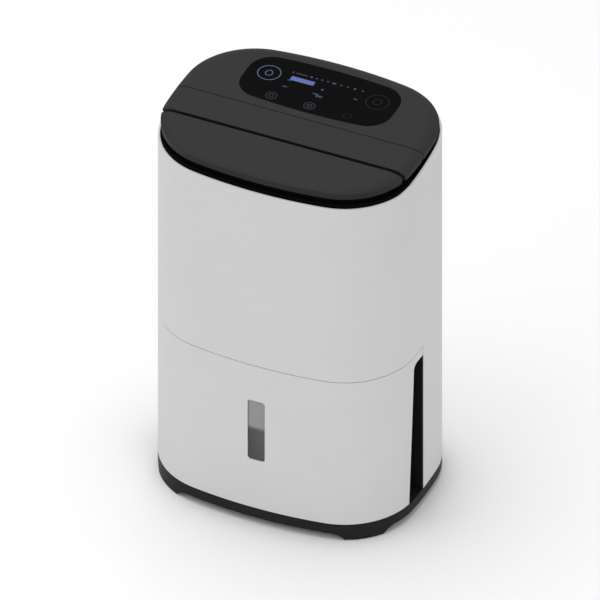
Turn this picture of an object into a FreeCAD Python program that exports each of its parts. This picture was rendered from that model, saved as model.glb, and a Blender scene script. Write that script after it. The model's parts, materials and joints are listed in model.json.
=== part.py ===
"""Compressor dehumidifier with a lift-out tank, as a parametric document of separate pieces.

Frame: millimetres, +Z up, front at -Y, +X to the right as seen from the front.
The origin lies on the floor under the middle of the body.
"""
import FreeCAD, Part
import math
import os
import re

import Sketcher

Vector = FreeCAD.Vector
DOC = FreeCAD.newDocument("dehumidifier")

# Driving dimensions. Each is a cell of the sheet with the alias given here.
SIZES = {
    # plan outline, made of eight tangent arcs
    "body_width": 316.0,
    "body_depth": 242.0,
    "face_arc": 544.0,
    "side_arc": 534.0,
    "corner_arc": 88.4,
    # heights from the floor
    "total_height": 497.0,
    "seam_height": 225.0,
    "rim_drop": 12.0,
    "rim_rise_start": -58.0,
    "rim_level_start": 52.0,
    # walls and general clearances
    "shell_wall": 2.6,
    "seam_gap": 0.8,
    "fit_gap": 0.3,
    "running_gap": 0.05,
    "seat_gap": 0.02,
    "rear_cover_depth": 51.0,
    "vent_half": 46.0,
    "vent_low": 60.0,
    "vent_pitch": 12.0,
    "vent_height": 5.0,
    "ledge_reach": 7.0,
    "ledge_thick": 2.0,
    "boss_radius": 5.2,
    "boss_height": 38.0,
    "side_boss_y": 30.0,
    "rear_boss_margin_x": 73.0,
    "rear_boss_margin_y": 14.0,
    "lid_boss_front_y": 22.0,
    "lid_boss_front_margin": 36.0,
    "lid_boss_rear_margin_x": 56.0,
    "lid_boss_rear_margin_y": 37.0,
    # base
    "pad_proud": 1.0,
    "arch_rise": 8.0,
    "arch_run": 15.5,
    "band_height": 13.0,
    "base_plate": 3.0,
    "front_arch_margin": 68.5,
    "side_arch_margin": 58.0,
    "base_wall": 3.0,
    "pad_radius": 7.5,
    "pad_thick": 3.0,
    "pad_margin_x": 41.0,
    "pad_margin_y": 32.5,
    # tank
    "tank_front_wall": 2.8,
    "tank_margin": 24.0,
    "tank_rear": -12.2,
    "tank_wall": 2.2,
    "tank_floor": 2.5,
    "tank_headroom": 16.0,
    "tank_lid_thick": 2.5,
    "tank_lid_rim": 5.0,
    "inlet_radius": 22.0,
    "pour_radius": 14.0,
    "pour_margin_x": 34.0,
    "pour_margin_y": 43.0,
    "slot_front_low": -41.6,
    "slot_front_high": -30.4,
    "slot_headroom": 11.5,
    "slot_corner": 8.0,
    "slot_rear": -6.6,
    "window_width": 21.6,
    "window_low": 90.5,
    "window_headroom": 50.0,
    "window_corner": 4.2,
    "window_inset": 1.2,
    "partition_face": -9.5,
    "partition_thick": 2.8,
    # float
    "float_margin": 29.0,
    "float_axis_y": -20.0,
    "float_drop": 21.0,
    "float_pin_radius": 1.5,
    "float_pin_half": 8.0,
    "float_arm_reach": 26.0,
    "float_length": 30.0,
    "float_half_width": 13.0,
    "float_height": 20.0,
    "magnet_radius": 4.0,
    "magnet_height": 5.0,
    # drip tray
    "tray_plate": 3.0,
    "tray_rim": 10.0,
    "tray_wall": 2.0,
    "spout_place_y": -50.0,
    "spout_radius": 8.0,
    "spout_length": 10.0,
    # lid and its parts
    "lid_thick": 13.0,
    "lid_inset": 3.0,
    "lid_edge_round": 4.5,
    "lid_skin": 2.5,
    "lid_rim": 3.6,
    "thin_seam": 0.5,
    "thin_seam_gap": 0.6,
    "handle_front": -44.6,
    "finger_gap": 5.0,
    # outlet deck
    "deck_drop": 23.0,
    "deck_plate": 3.0,
    "deck_ring_inset": 7.0,
    "deck_ring_wall": 2.5,
    "outlet_margin": 61.0,
    "outlet_margin_front": 23.5,
    "outlet_to_hinge": 5.9,
    "grille_frame": 3.5,
    "grille_depth": 7.0,
    "grille_vane": 1.6,
    "grille_pitch": 5.6,
    # flap hinge
    "flap_axis_setback": 6.0,
    "flap_axis_drop": 8.0,
    "flap_pin_radius": 2.0,
    "flap_ear_radius": 4.2,
    "flap_ear_thick": 4.9,
    "flap_ear_margin": 45.0,
    "flap_lug_thick": 5.6,
    "flap_side_gap": 0.5,
    "flap_motor_radius": 5.0,
    "flap_motor_length": 24.0,
    # carry handle
    "handle_stroke": 42.0,
    "handle_post_radius": 6.0,
    "handle_post_margin": 34.0,
    "handle_post_y": -22.0,
    "handle_guide_wall": 3.0,
    "handle_guide_length": 28.0,
    "handle_guide_flange": 4.0,
    "handle_stop_thick": 4.0,
    "handle_stop_radius": 8.6,
    # control panel
    "glass_margin": 64.0,
    "glass_front": 12.5,
    "glass_face_arc": 690.0,
    "glass_side_arc": 300.0,
    "glass_corner_arc": 29.2,
    "glass_rear_margin": 22.5,
    "glass_thick": 1.5,
    "glass_ledge": 5.0,
    "glass_sink": 0.1,
    "board_margin": 14.0,
    "board_front": 22.0,
    "board_rear_margin": 32.0,
    "board_thick": 1.6,
    "board_rise": 11.0,
    "board_post_radius": 3.0,
    "key_wide_margin": 26.2,
    "key_far_offset": 8.7,
    "key_narrow_margin": 46.2,
    "key_near_margin": 13.3,
    "key_spring_radius": 4.0,
    # fan
    "fan_axis_x": -10.0,
    "scroll_share": 0.43,
    "scroll_margin": 33.0,
    "scroll_depth": 56.0,
    "scroll_wall": 2.0,
    "scroll_outlet_left": -30.0,
    "duct_height": 16.0,
    "scroll_inlet_step": 14.0,
    "scroll_foot_x": 60.0,
    "scroll_volute": 26.0,
    "impeller_depth": 44.0,
    "blade_length": 12.0,
    "blade_thick": 1.4,
    "blade_count": 30,
    "fan_shaft_radius": 4.0,
    "fan_hub_radius": 16.0,
    "fan_hub_depth": 24.0,
    "motor_radius": 38.0,
    "motor_depth": 24.0,
    "flange_thick": 2.0,
    # coils
    "coil_margin_left": 46.0,
    "coil_margin_right": 60.0,
    "coil_rise": 19.3,
    "coil_headroom": 6.0,
    "coil_thick": 24.0,
    "condenser_margin": 87.0,
    "evaporator_margin": 55.0,
    "coil_passes": 8,
    "coil_tube": 4.0,
    "fin_pitch": 8.0,
    "fin_groove": 6.0,
    "fin_rail": 4.0,
    "end_plate": 2.0,
    # compressor and its circuit
    "compressor_margin": 106.0,
    "mount_disc_reach": 11.0,
    "compressor_headroom": 49.0,
    "compressor_round": 20.0,
    "mount_disc_thick": 3.0,
    "grommet_height": 9.0,
    "grommet_radius": 8.0,
    "stud_radius": 3.0,
    "accumulator_gap": 14.0,
    "accumulator_radius": 20.0,
    "accumulator_low": 62.0,
    "accumulator_headroom": 43.0,
    "pipe_radius": 3.2,
    "pipe_bend": 9.0,
    "pipe_drop": 17.0,
    "suction_margin": 31.0,
    "discharge_margin": 28.0,
    "capillary_radius": 1.6,
    # electrics
    "box_margin": 26.0,
    "box_width": 26.0,
    "box_margin_front": 41.0,
    "box_depth": 44.0,
    "box_share": 0.66,
    "box_wall": 2.0,
    "board_gap": 4.4,
    "capacitor_radius": 17.0,
    "capacitor_height": 72.0,
    "capacitor_margin": 58.0,
    "capacitor_y": 50.0,
    "sensor_margin_x": 98.0,
    "sensor_margin_y": 26.0,
    # rear filter
    "filter_margin": 34.0,
    "filter_rise": 9.3,
    "filter_headroom": 38.5,
    "grille_bar": 4.0,
    "grille_slot": 5.0,
    "filter_frame_wall": 6.0,
    "filter_frame_depth": 4.4,
    # drain and cord
    "drain_margin": 68.0,
    "drain_drop": 29.0,
    "drain_cup_radius": 15.0,
    "drain_cup_depth": 29.0,
    "spigot_radius": 6.0,
    "spigot_bore": 4.0,
    "spigot_length": 14.0,
    "gland_margin": 98.0,
    "gland_z": 46.0,
    "gland_radius": 9.0,
    "gland_bore": 4.0,
    "gland_length": 14.0,
}

SHEET = DOC.addObject("Spreadsheet::Sheet", "sizes")
for row, (alias, number) in enumerate(SIZES.items(), start=1):
    SHEET.set(f"A{row}", alias)
    SHEET.set(f"B{row}", str(number))
    SHEET.setAlias(f"B{row}", alias)
DOC.recompute()


# Sizes and places worked out from the sheet's own, by the name that formulas use.
DERIVED = {
    "half_width": "body_width / 2",
    "half_depth": "body_depth / 2",
    "arch_top": "pad_proud + arch_rise",
    "base_top": "pad_proud + arch_rise + band_height",
    "arch_radius": "(arch_run * arch_run + arch_rise * arch_rise) / (2 * arch_rise)",
    "front_arch_half": "half_width - front_arch_margin",
    "side_arch_half": "half_depth - side_arch_margin",
    "pad_place_x": "half_width - pad_margin_x",
    "pad_place_y": "half_depth - pad_margin_y",
    "shell_inside": "shell_wall + fit_gap",
    "cover_split": "half_depth - rear_cover_depth",
    "side_screw_x": "half_width - shell_wall - boss_radius",
    "upper_low": "seam_height + seam_gap / 2",
    "tray_low": "upper_low + ledge_thick + fit_gap",
    "tray_top": "tray_low + tray_plate",
    "lid_low": "total_height - lid_thick",
    "rim_front": "lid_low - rim_drop",
    "deck_low": "total_height - deck_drop",
    "deck_top": "deck_low + deck_plate",
    "ring_top": "lid_low - fit_gap",
    "flap_rear": "handle_front - finger_gap",
    "flap_axis_y": "flap_rear - flap_axis_setback",
    "flap_axis_z": "total_height - flap_axis_drop",
    "flap_ear_place": "half_width - flap_ear_margin",
    "motor_x": "flap_ear_place + flap_ear_thick + 2 * flap_side_gap + 1",
    "lid_split": "thin_seam + thin_seam_gap",
    "tank_low": "base_top + fit_gap",
    "tank_top": "seam_height - seam_gap / 2",
    "slot_top": "seam_height - slot_headroom",
    "tank_inset": "tank_front_wall + fit_gap",
    "tank_half_width": "half_width - tank_margin",
    "tank_body_top": "seam_height - tank_headroom",
    "pour_place_x": "tank_half_width - pour_margin_x",
    "pour_place_y": "pour_margin_y - half_depth",
    "window_high": "seam_height - window_headroom",
    "float_place_x": "float_margin - tank_half_width",
    "float_axis_z": "tank_body_top - float_drop",
    "outlet_half": "half_width - outlet_margin",
    "outlet_front": "outlet_margin_front - half_depth",
    "outlet_rear": "flap_axis_y - outlet_to_hinge",
    "handle_post_x": "half_width - handle_post_margin",
    "guide_low": "deck_low - handle_guide_length",
    "post_low": "guide_low - handle_stroke - fit_gap",
    "glass_half_width": "half_width - glass_margin",
    "glass_centre": "(half_depth - glass_rear_margin + glass_front) / 2",
    "glass_half_depth": "glass_centre - glass_front",
    "glass_low": "total_height - glass_sink - glass_thick",
    "board_half_width": "glass_half_width - board_margin",
    "board_depth": "half_depth - board_rear_margin - board_front",
    "board_low": "deck_top + board_rise",
    "board_high": "board_low + board_thick",
    "key_wide": "glass_half_width - key_wide_margin",
    "key_narrow": "glass_half_width - key_narrow_margin",
    "key_far": "glass_centre + key_far_offset",
    "key_near": "glass_front + key_near_margin",
    "scroll_top": "deck_low - duct_height",
    "upper_room": "scroll_top - tray_top",
    "fan_axis_z": "tray_top + upper_room / 2",
    "scroll_radius": "upper_room * scroll_share",
    "scroll_front": "scroll_margin - half_depth",
    "impeller_radius": "scroll_radius - scroll_volute",
    "scroll_inlet": "impeller_radius - scroll_inlet_step",
    "fan_back": "scroll_front + scroll_depth",
    "impeller_front": "scroll_front + scroll_wall + 4",
    "flange_front": "scroll_front - flange_thick",
    "shroud_front": "fan_back + fit_gap",
    "coil_left": "coil_margin_left - half_width",
    "coil_right": "half_width - coil_margin_right",
    "coil_low": "tray_top + coil_rise",
    "coil_height": "scroll_top - coil_headroom - coil_low",
    "coil_pitch": "coil_height / (coil_passes + 0.4)",
    "first_pass": "coil_low + (coil_height - (coil_passes - 1) * coil_pitch) / 2",
    "condenser_front": "half_depth - condenser_margin",
    "evaporator_front": "half_depth - evaporator_margin",
    "warm_middle": "condenser_front + coil_thick / 2",
    "cold_middle": "evaporator_front + coil_thick / 2",
    "mount_disc_radius": "(half_depth - mount_disc_reach) / 2",
    "compressor_radius": "mount_disc_radius - mount_disc_reach",
    "compressor_x": "compressor_margin - half_width",
    "compressor_y": "mount_disc_radius + 1",
    "compressor_low": "base_top + grommet_height",
    "compressor_foot": "compressor_low + mount_disc_thick",
    "compressor_height": "seam_height - compressor_headroom - compressor_foot",
    "accumulator_x": "compressor_x + compressor_radius + accumulator_gap + accumulator_radius",
    "accumulator_y": "compressor_y + 2",
    "accumulator_height": "seam_height - accumulator_headroom - accumulator_low",
    "pipe_level": "seam_height - pipe_drop",
    "suction_rise_x": "half_width - suction_margin",
    "discharge_rise_x": "discharge_margin - half_width",
    "box_right": "half_width - box_margin",
    "box_left": "box_right - box_width",
    "box_back": "box_front + box_depth",
    "box_front": "box_margin_front - half_depth",
    "box_top": "tray_top + upper_room * box_share",
    "board_right": "box_right - box_wall - board_gap",
    "board_left": "board_right - board_thick",
    "capacitor_x": "half_width - capacitor_margin",
    "filter_half": "half_width - filter_margin",
    "filter_low": "tray_top + filter_rise",
    "filter_high": "lid_low - filter_headroom",
    "drain_x": "half_width - drain_margin",
    "drain_z": "seam_height - drain_drop",
    "drain_cup_floor": "half_depth - drain_cup_depth",
    "gland_x": "half_width - gland_margin",
}

BODY_PLAN = ("half_width", "half_depth", "face_arc", "side_arc", "corner_arc", "0")
GLASS_PLAN = ("glass_half_width", "glass_half_depth", "glass_face_arc", "glass_side_arc",
              "glass_corner_arc", "glass_centre")


def cells(text):
    """Write a formula's names as references to the sheet, with the derived ones worked out."""
    def written(word):
        name = word.group(0)
        return f"({cells(DERIVED[name])})" if name in DERIVED else "sizes." + name
    return re.sub(r"\b[a-z][a-z_]+\b(?!\()", written, str(text))


def amount(text):
    """The number that a formula gives now."""
    return float(SHEET.evalExpression(cells(text)))


def bind(thing, **formulas):
    """Bind properties of a thing to formulas of the sheet; x, y and z are its place."""
    for name, formula in formulas.items():
        target = f".Placement.Base.{name}" if name in ("x", "y", "z") else name
        thing.setExpression(target, cells(formula))
    return thing


NODES = {}


def keep(label, thing):
    """Name a finished piece; its label is its node's and its file's name."""
    thing.Label = label
    NODES[label] = thing
    return thing


# ---------------------------------------------------------------- primitives
def box(name, low, high):
    """A box between two corners given as formulas or numbers."""
    thing = DOC.addObject("Part::Box", name)
    bind(thing, x=low[0], y=low[1], z=low[2])
    for side, lowest, highest in zip(("Length", "Width", "Height"), low, high):
        bind(thing, **{side: f"({highest}) - ({lowest})"})
    return thing


def rod(name, start, radius, length, axis="z"):
    """A cylinder from a start point along an axis."""
    thing = DOC.addObject("Part::Cylinder", name)
    turns = {"z": FreeCAD.Rotation(), "x": FreeCAD.Rotation(Vector(0, 1, 0), 90),
             "y": FreeCAD.Rotation(Vector(1, 0, 0), -90)}
    thing.Placement.Rotation = turns[axis]
    return bind(thing, x=start[0], y=start[1], z=start[2], Radius=radius, Height=length)


def fuse(name, *things):
    """All things as one."""
    thing = DOC.addObject("Part::MultiFuse", name)
    thing.Shapes = list(things)
    thing.Refine = True
    return thing


def cut(name, base, *tools):
    """The base without the tools."""
    thing = DOC.addObject("Part::Cut", name)
    thing.Base = base
    thing.Tool = tools[0] if len(tools) == 1 else group(name + "_tools", *tools)
    return thing


def common(name, first, second):
    """What two things share."""
    thing = DOC.addObject("Part::Common", name)
    thing.Base = first
    thing.Tool = second
    return thing


def group(name, *things):
    """Separate solids kept together."""
    thing = DOC.addObject("Part::Compound", name)
    thing.Links = list(things)
    return thing


def ring(name, start, outer, inner, length, axis="z"):
    """A tube with a plain bore."""
    return cut(name, rod(name + "_outside", start, outer, length, axis),
               rod(name + "_bore", start, inner, length, axis))


def round_edges(name, thing, radius, wanted):
    """Round the edges of a thing that a test picks."""
    DOC.recompute()
    size = amount(radius)
    picked = [(index, size, size) for index, edge in enumerate(thing.Shape.Edges, start=1) if wanted(edge)]
    rounded = DOC.addObject("Part::Fillet", name)
    rounded.Base = thing
    rounded.Edges = picked
    return rounded


# ------------------------------------------------------------- plan outlines
def body_plane(body, role):
    """The origin plane of a body that has a role."""
    return next(plane for plane in body.Origin.OriginFeatures if plane.Role == role)


def sketch_on(body, name, role, height="0"):
    """An empty sketch on an origin plane, raised along the plane's normal."""
    sketch = body.newObject("Sketcher::SketchObject", name)
    sketch.AttachmentSupport = [(body_plane(body, role), "")]
    sketch.MapMode = "FlatFace"
    sketch.setExpression(".AttachmentOffset.Base.z", cells(height))
    return sketch


def corner_centre(half_x, half_y, face, side, corner):
    """Centre of a corner arc that is tangent to the face arc and the side arc."""
    face_y = half_y - face
    side_x = half_x - side
    span = math.hypot(side_x, face_y)
    along = ((face - corner) ** 2 - (side - corner) ** 2 + span ** 2) / (2 * span)
    off = math.sqrt((face - corner) ** 2 - along ** 2)
    step_x, step_y = side_x / span, -face_y / span
    return along * step_x + off * step_y, face_y + along * step_y - off * step_x


def add_oval(sketch, plan, inset):
    """Draw the closed outline of eight tangent arcs, drawn in by an inset."""
    half_x, half_y, face, side, corner, shift = (amount(value) for value in plan)
    drawn_in = amount(inset)
    corner_x, corner_y = corner_centre(half_x, half_y, face, side, corner)
    face_y = half_y - face
    side_x = half_x - side
    face_turn = math.atan2(corner_x, corner_y - face_y)
    side_turn = math.atan2(corner_y, corner_x - side_x)
    arcs = []
    for quarter in range(4):
        middle = quarter * math.pi / 2
        if quarter % 2 == 0:
            sign = 1 - quarter
            centre, radius, reach = (sign * side_x, 0.0), side, side_turn
        else:
            sign = 2 - quarter
            centre, radius, reach = (0.0, sign * face_y), face, face_turn
        arcs.append((centre, radius, middle - reach, middle + reach))
        end = middle + reach
        begin = middle + math.pi / 2 - (face_turn if quarter % 2 == 0 else side_turn)
        sign_x = 1 if quarter in (0, 3) else -1
        sign_y = 1 if quarter in (0, 1) else -1
        arcs.append(((sign_x * corner_x, sign_y * corner_y), corner, end, begin))
    names = []
    for centre, radius, begin, end in arcs:
        circle = Part.Circle(Vector(centre[0], centre[1] + shift, 0), Vector(0, 0, 1), radius - drawn_in)
        names.append(sketch.addGeometry(Part.ArcOfCircle(circle, begin, end), False))
    for index, name in enumerate(names):
        following = names[(index + 1) % len(names)]
        sketch.addConstraint(Sketcher.Constraint("Tangent", name, 2, following, 1))
    for index, name in enumerate(names):
        length = side if index in (0, 4) else face if index in (2, 6) else corner
        formula = plan[3] if index in (0, 4) else plan[2] if index in (2, 6) else plan[4]
        place = sketch.addConstraint(Sketcher.Constraint("Radius", name, length - drawn_in))
        sketch.setExpression(f"Constraints[{place}]", cells(f"({formula}) - ({inset})"))
    origin = (-1, 1)
    places = (
        (0, "DistanceX", side_x, f"({plan[0]}) - ({plan[3]})"), (0, "DistanceY", shift, plan[5]),
        (4, "DistanceX", -side_x, f"({plan[3]}) - ({plan[0]})"), (4, "DistanceY", shift, plan[5]),
        (2, "DistanceX", 0.0, "0"),
        (2, "DistanceY", face_y + shift, f"({plan[1]}) - ({plan[2]}) + ({plan[5]})"),
        (6, "DistanceX", 0.0, "0"),
        (6, "DistanceY", shift - face_y, f"({plan[2]}) - ({plan[1]}) + ({plan[5]})"),
    )
    for index, kind, number, formula in places:
        place = sketch.addConstraint(Sketcher.Constraint(kind, *origin, names[index], 3, number))
        sketch.setExpression(f"Constraints[{place}]", cells(formula))


def oval(name, low, high, inset="0", plan=BODY_PLAN):
    """A prism on the plan outline, between two heights."""
    body = DOC.addObject("PartDesign::Body", name)
    sketch = sketch_on(body, name + "_outline", "XY_Plane", low)
    add_oval(sketch, plan, inset)
    pad = body.newObject("PartDesign::Pad", name + "_pad")
    pad.Profile = sketch
    pad.setExpression("Length", cells(f"({high}) - ({low})"))
    return body


def oval_shell(name, low, high, inset, wall, plan=BODY_PLAN):
    """A wall that follows the plan outline, open at top and bottom."""
    return cut(name, oval(name + "_outside", low, high, inset, plan),
               oval(name + "_inside", f"{low} - 1", f"{high} + 1", f"{inset} + {wall}", plan))


def profile(name, role, points, low, high):
    """A prism on a polygon of (x, y) formulas, between two distances along the plane's normal."""
    body = DOC.addObject("PartDesign::Body", name)
    sketch = sketch_on(body, name + "_sketch", role, low)
    numbers = [(amount(first), amount(second)) for first, second in points]
    for index, point in enumerate(numbers):
        following = numbers[(index + 1) % len(numbers)]
        sketch.addGeometry(Part.LineSegment(Vector(*point, 0), Vector(*following, 0)), False)
    for index, (first, second) in enumerate(points):
        before = (index - 1) % len(points)
        sketch.addConstraint(Sketcher.Constraint("Coincident", before, 2, index, 1))
        for kind, formula, number in zip(("DistanceX", "DistanceY"), (first, second), numbers[index]):
            place = sketch.addConstraint(Sketcher.Constraint(kind, -1, 1, index, 1, number))
            sketch.setExpression(f"Constraints[{place}]", cells(formula))
    pad = body.newObject("PartDesign::Pad", name + "_pad")
    pad.Profile = sketch
    pad.setExpression("Length", cells(f"({high}) - ({low})"))
    return body


def tube(label, points, radius, bend, bore=None):
    """A pipe along straight runs joined by tangent bends, which no sketch plane holds."""
    corners = [Vector(*(amount(value) for value in point)) for point in points]
    size = amount(bend)
    edges = []
    start = corners[0]
    for before, corner, after in zip(corners, corners[1:], corners[2:]):
        back = (before - corner).normalize()
        ahead = (after - corner).normalize()
        turn = math.pi - back.getAngle(ahead)
        reach = size * math.tan(turn / 2)
        enter = corner + back * reach
        leave = corner + ahead * reach
        middle = (back + ahead).normalize()
        crown = corner + middle * (size / math.cos(turn / 2) - size)
        edges.append(Part.LineSegment(start, enter).toShape())
        edges.append(Part.Arc(enter, crown, leave).toShape())
        start = leave
    edges.append(Part.LineSegment(start, corners[-1]).toShape())
    path = Part.Wire(edges)
    heading = corners[1] - corners[0]

    def swept(width):
        return path.makePipeShell([Part.Wire([Part.makeCircle(width, corners[0], heading)])], True, False)

    thing = DOC.addObject("Part::Feature", label)
    shape = swept(amount(radius))
    thing.Shape = shape.cut(swept(amount(bore))) if bore else shape
    return keep(label, thing)


EAST_WEST = ((-1, "left"), (1, "right"))
CORNERS = [(x, y) for x in (-1, 1) for y in (-1, 1)]


# --------------------------------------------------------------------- base
def make_base():
    """Dark base with an arch on each side between four corner feet, and the pads under them."""
    blank = oval("base_blank", "pad_proud", "base_top")
    reach_x = "(half_width + 10)"
    reach_y = "(half_depth + 10)"
    arches = [box("front_arch", ("-front_arch_half", f"-{reach_y}", "-5"),
                  ("front_arch_half", reach_y, "arch_top")),
              box("side_arch", (f"-{reach_x}", "-side_arch_half", "-5"),
                  (reach_x, "side_arch_half", "arch_top"))]
    for sign, side in EAST_WEST:
        centre = "arch_top - arch_radius"
        arches.append(rod(f"front_arch_{side}", (f"{sign} * front_arch_half", f"-{reach_y}", centre),
                          "arch_radius", f"2 * {reach_y}", "y"))
        arches.append(rod(f"side_arch_{side}", (f"-{reach_x}", f"{sign} * side_arch_half", centre),
                          "arch_radius", f"2 * {reach_x}", "x"))
    hollow_high = "base_top - base_plate"
    crossing = fuse("base_crossing",
                    box("crossing_long", ("-front_arch_half", f"-{reach_y}", 0),
                        ("front_arch_half", reach_y, hollow_high)),
                    box("crossing_wide", (f"-{reach_x}", "-side_arch_half", 0),
                        (reach_x, "side_arch_half", hollow_high)))
    hollow = common("base_hollow", oval("base_hollow_plan", "0", hollow_high, "base_wall"), crossing)
    sockets = [rod(f"pad_socket_{x}_{y}".replace("-", "m"), (f"{x} * pad_place_x", f"{y} * pad_place_y", "0"),
                   "pad_radius + seat_gap", "pad_thick") for x, y in CORNERS]
    holes = [rod(f"base_screw_hole_{place}", (x, y, "0"), "1.8", "base_top + 1")
             for place, (x, y) in enumerate(screw_places())]
    keep("base_tray", cut("base_tray_cut", blank, *arches, hollow, *sockets, *holes))
    pads = [rod(f"pad_{x}_{y}".replace("-", "m"), (f"{x} * pad_place_x", f"{y} * pad_place_y", "0"),
                "pad_radius", "pad_thick") for x, y in CORNERS]
    keep("foot_pads", group("pads", *pads))


def screw_places():
    """Places of the screws that hold the shells to the base."""
    rear_x, rear_y = "half_width - rear_boss_margin_x", "half_depth - rear_boss_margin_y"
    return [("-side_screw_x", "side_boss_y"), ("side_screw_x", "side_boss_y"), (f"-({rear_x})", rear_y),
            (rear_x, rear_y)]


def make_screws():
    """Countersunk screws from under the base into the shells' bosses."""
    screws = []
    for place, (x, y) in enumerate(screw_places()):
        head = rod(f"base_screw_head_{place}", (x, y, "base_top - base_plate - 2.4"), "3.4", "2.4")
        shank = rod(f"base_screw_shank_{place}", (x, y, "base_top - base_plate - 1"), "1.5", "18")
        screws.append(fuse(f"base_screw_{place}", head, shank))
    keep("base_screws", group("base_screw_group", *screws))


# --------------------------------------------------------------------- shells
def shell_boss(name, x, y):
    """A screw boss standing on the base inside a shell."""
    return ring(name, (x, y, "base_top + 0.1"), "boss_radius", "1.52", "boss_height")


def rim_trim():
    """Everything above the white rim, level at the front and rising behind to the lid's lower edge."""
    front = "-half_depth - 5"
    rear = "half_depth + 5"
    points = [(front, "rim_front"), ("rim_rise_start", "rim_front"), ("rim_level_start", "lid_low"),
              (rear, "lid_low"), (rear, "lid_low + 40"), (front, "lid_low + 40")]
    return profile("rim_trim", "YZ_Plane", points, "-half_width - 10", "half_width + 10")


def make_shells():
    """White front housing with the side panels, and the white rear cover behind it."""
    trim = rim_trim()
    wide = "(half_width + 10)"
    split = "cover_split"
    full = oval_shell("housing_wall", "base_top + 0.1", "lid_low + 1", "0", "shell_wall")
    ledge = oval_shell("housing_ledge", "upper_low", "upper_low + ledge_thick", "shell_wall - 0.5",
                       "ledge_reach + 0.5")
    ahead = box("ahead_of_split", (f"-{wide}", "-half_depth - 10", 0), (wide, split, "total_height"))
    bay = box("tank_bay", (f"-{wide}", "-half_depth - 10", 0), (wide, "slot_rear", "upper_low"))
    bosses = [shell_boss(f"side_boss_{place}", x, y) for place, (x, y) in enumerate(screw_places()[:2])]
    wall = common("front_wall", fuse("front_wall_blank", full, ledge), ahead)
    keep("front_housing", fuse("front_housing_all", cut("front_wall_cut", wall, bay, trim), *bosses))

    behind = box("behind_split", (f"-{wide}", f"{split} + 0.4", 0),
                 (wide, "half_depth + 10", "total_height"))
    opening = box("filter_opening", ("-filter_half", split + " + 1", "filter_low"),
                  ("filter_half", "half_depth + 10", "filter_high"))
    vents = [box(f"rear_vent_{place}", ("-vent_half", "cover_split + 10", f"vent_low + {place} * vent_pitch"),
                 ("vent_half", "half_depth + 10", f"vent_low + vent_height + {place} * vent_pitch"))
             for place in range(8)]
    port = rod("port_hole", ("drain_x", "cover_split + 10", "drain_z"), "drain_cup_radius + 0.2",
               "rear_cover_depth", "y")
    inlet = rod("gland_hole", ("gland_x", "cover_split + 10", "gland_z"), "gland_radius + 0.1",
                "rear_cover_depth", "y")
    rear_bosses = [shell_boss(f"rear_boss_{place}", x, y) for place, (x, y) in enumerate(screw_places()[2:])]
    back = cut("rear_wall_cut", common("rear_wall", full, behind), opening, trim, port, inlet, *vents)
    keep("rear_cover", fuse("rear_cover_all", back, *rear_bosses))


# ----------------------------------------------------------------------- tank
def tank_plan(name, low, high, extra):
    """The tank's plan: the body outline with flat sides and a flat back, drawn in."""
    wide = f"tank_half_width - ({extra})"
    block = box(name + "_block", (f"-({wide})", "-half_depth", low), (wide, f"tank_rear - ({extra})", high))
    return common(name, oval(name + "_plan", low, high, f"tank_inset + ({extra})"), block)


def finger_slots():
    """The space of the upright finger slots at both sides, with a round upper front corner."""
    points = [("slot_front_low", "0"), ("slot_front_low", "base_top"), ("slot_front_high", "slot_top"),
              ("slot_rear + 5", "slot_top"), ("slot_rear + 5", "0")]
    space = profile("finger_slot_space", "YZ_Plane", points, "-half_width - 10", "half_width + 10")

    def upper_front_edge(edge):
        bounds = edge.BoundBox
        across = bounds.XLength > amount("body_width")
        return (across and abs(bounds.YMin - amount("slot_front_high")) < 0.1
                and abs(bounds.ZMin - amount("slot_top")) < 0.1)
    return round_edges("finger_slot_round", space, "slot_corner", upper_front_edge)


def window_hole(name, clearance):
    """The upright slot of the level window, with round corners."""
    half = f"window_width / 2 - ({clearance})"
    block = box(name + "_block", (f"-({half})", "-half_depth - 10", f"window_low + ({clearance})"),
                (half, "-half_depth + 20", f"window_high - ({clearance})"))

    def upright_corner(edge):
        return abs(edge.tangentAt(edge.FirstParameter).y) > 0.99
    return round_edges(name, block, "window_corner", upright_corner)


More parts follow.
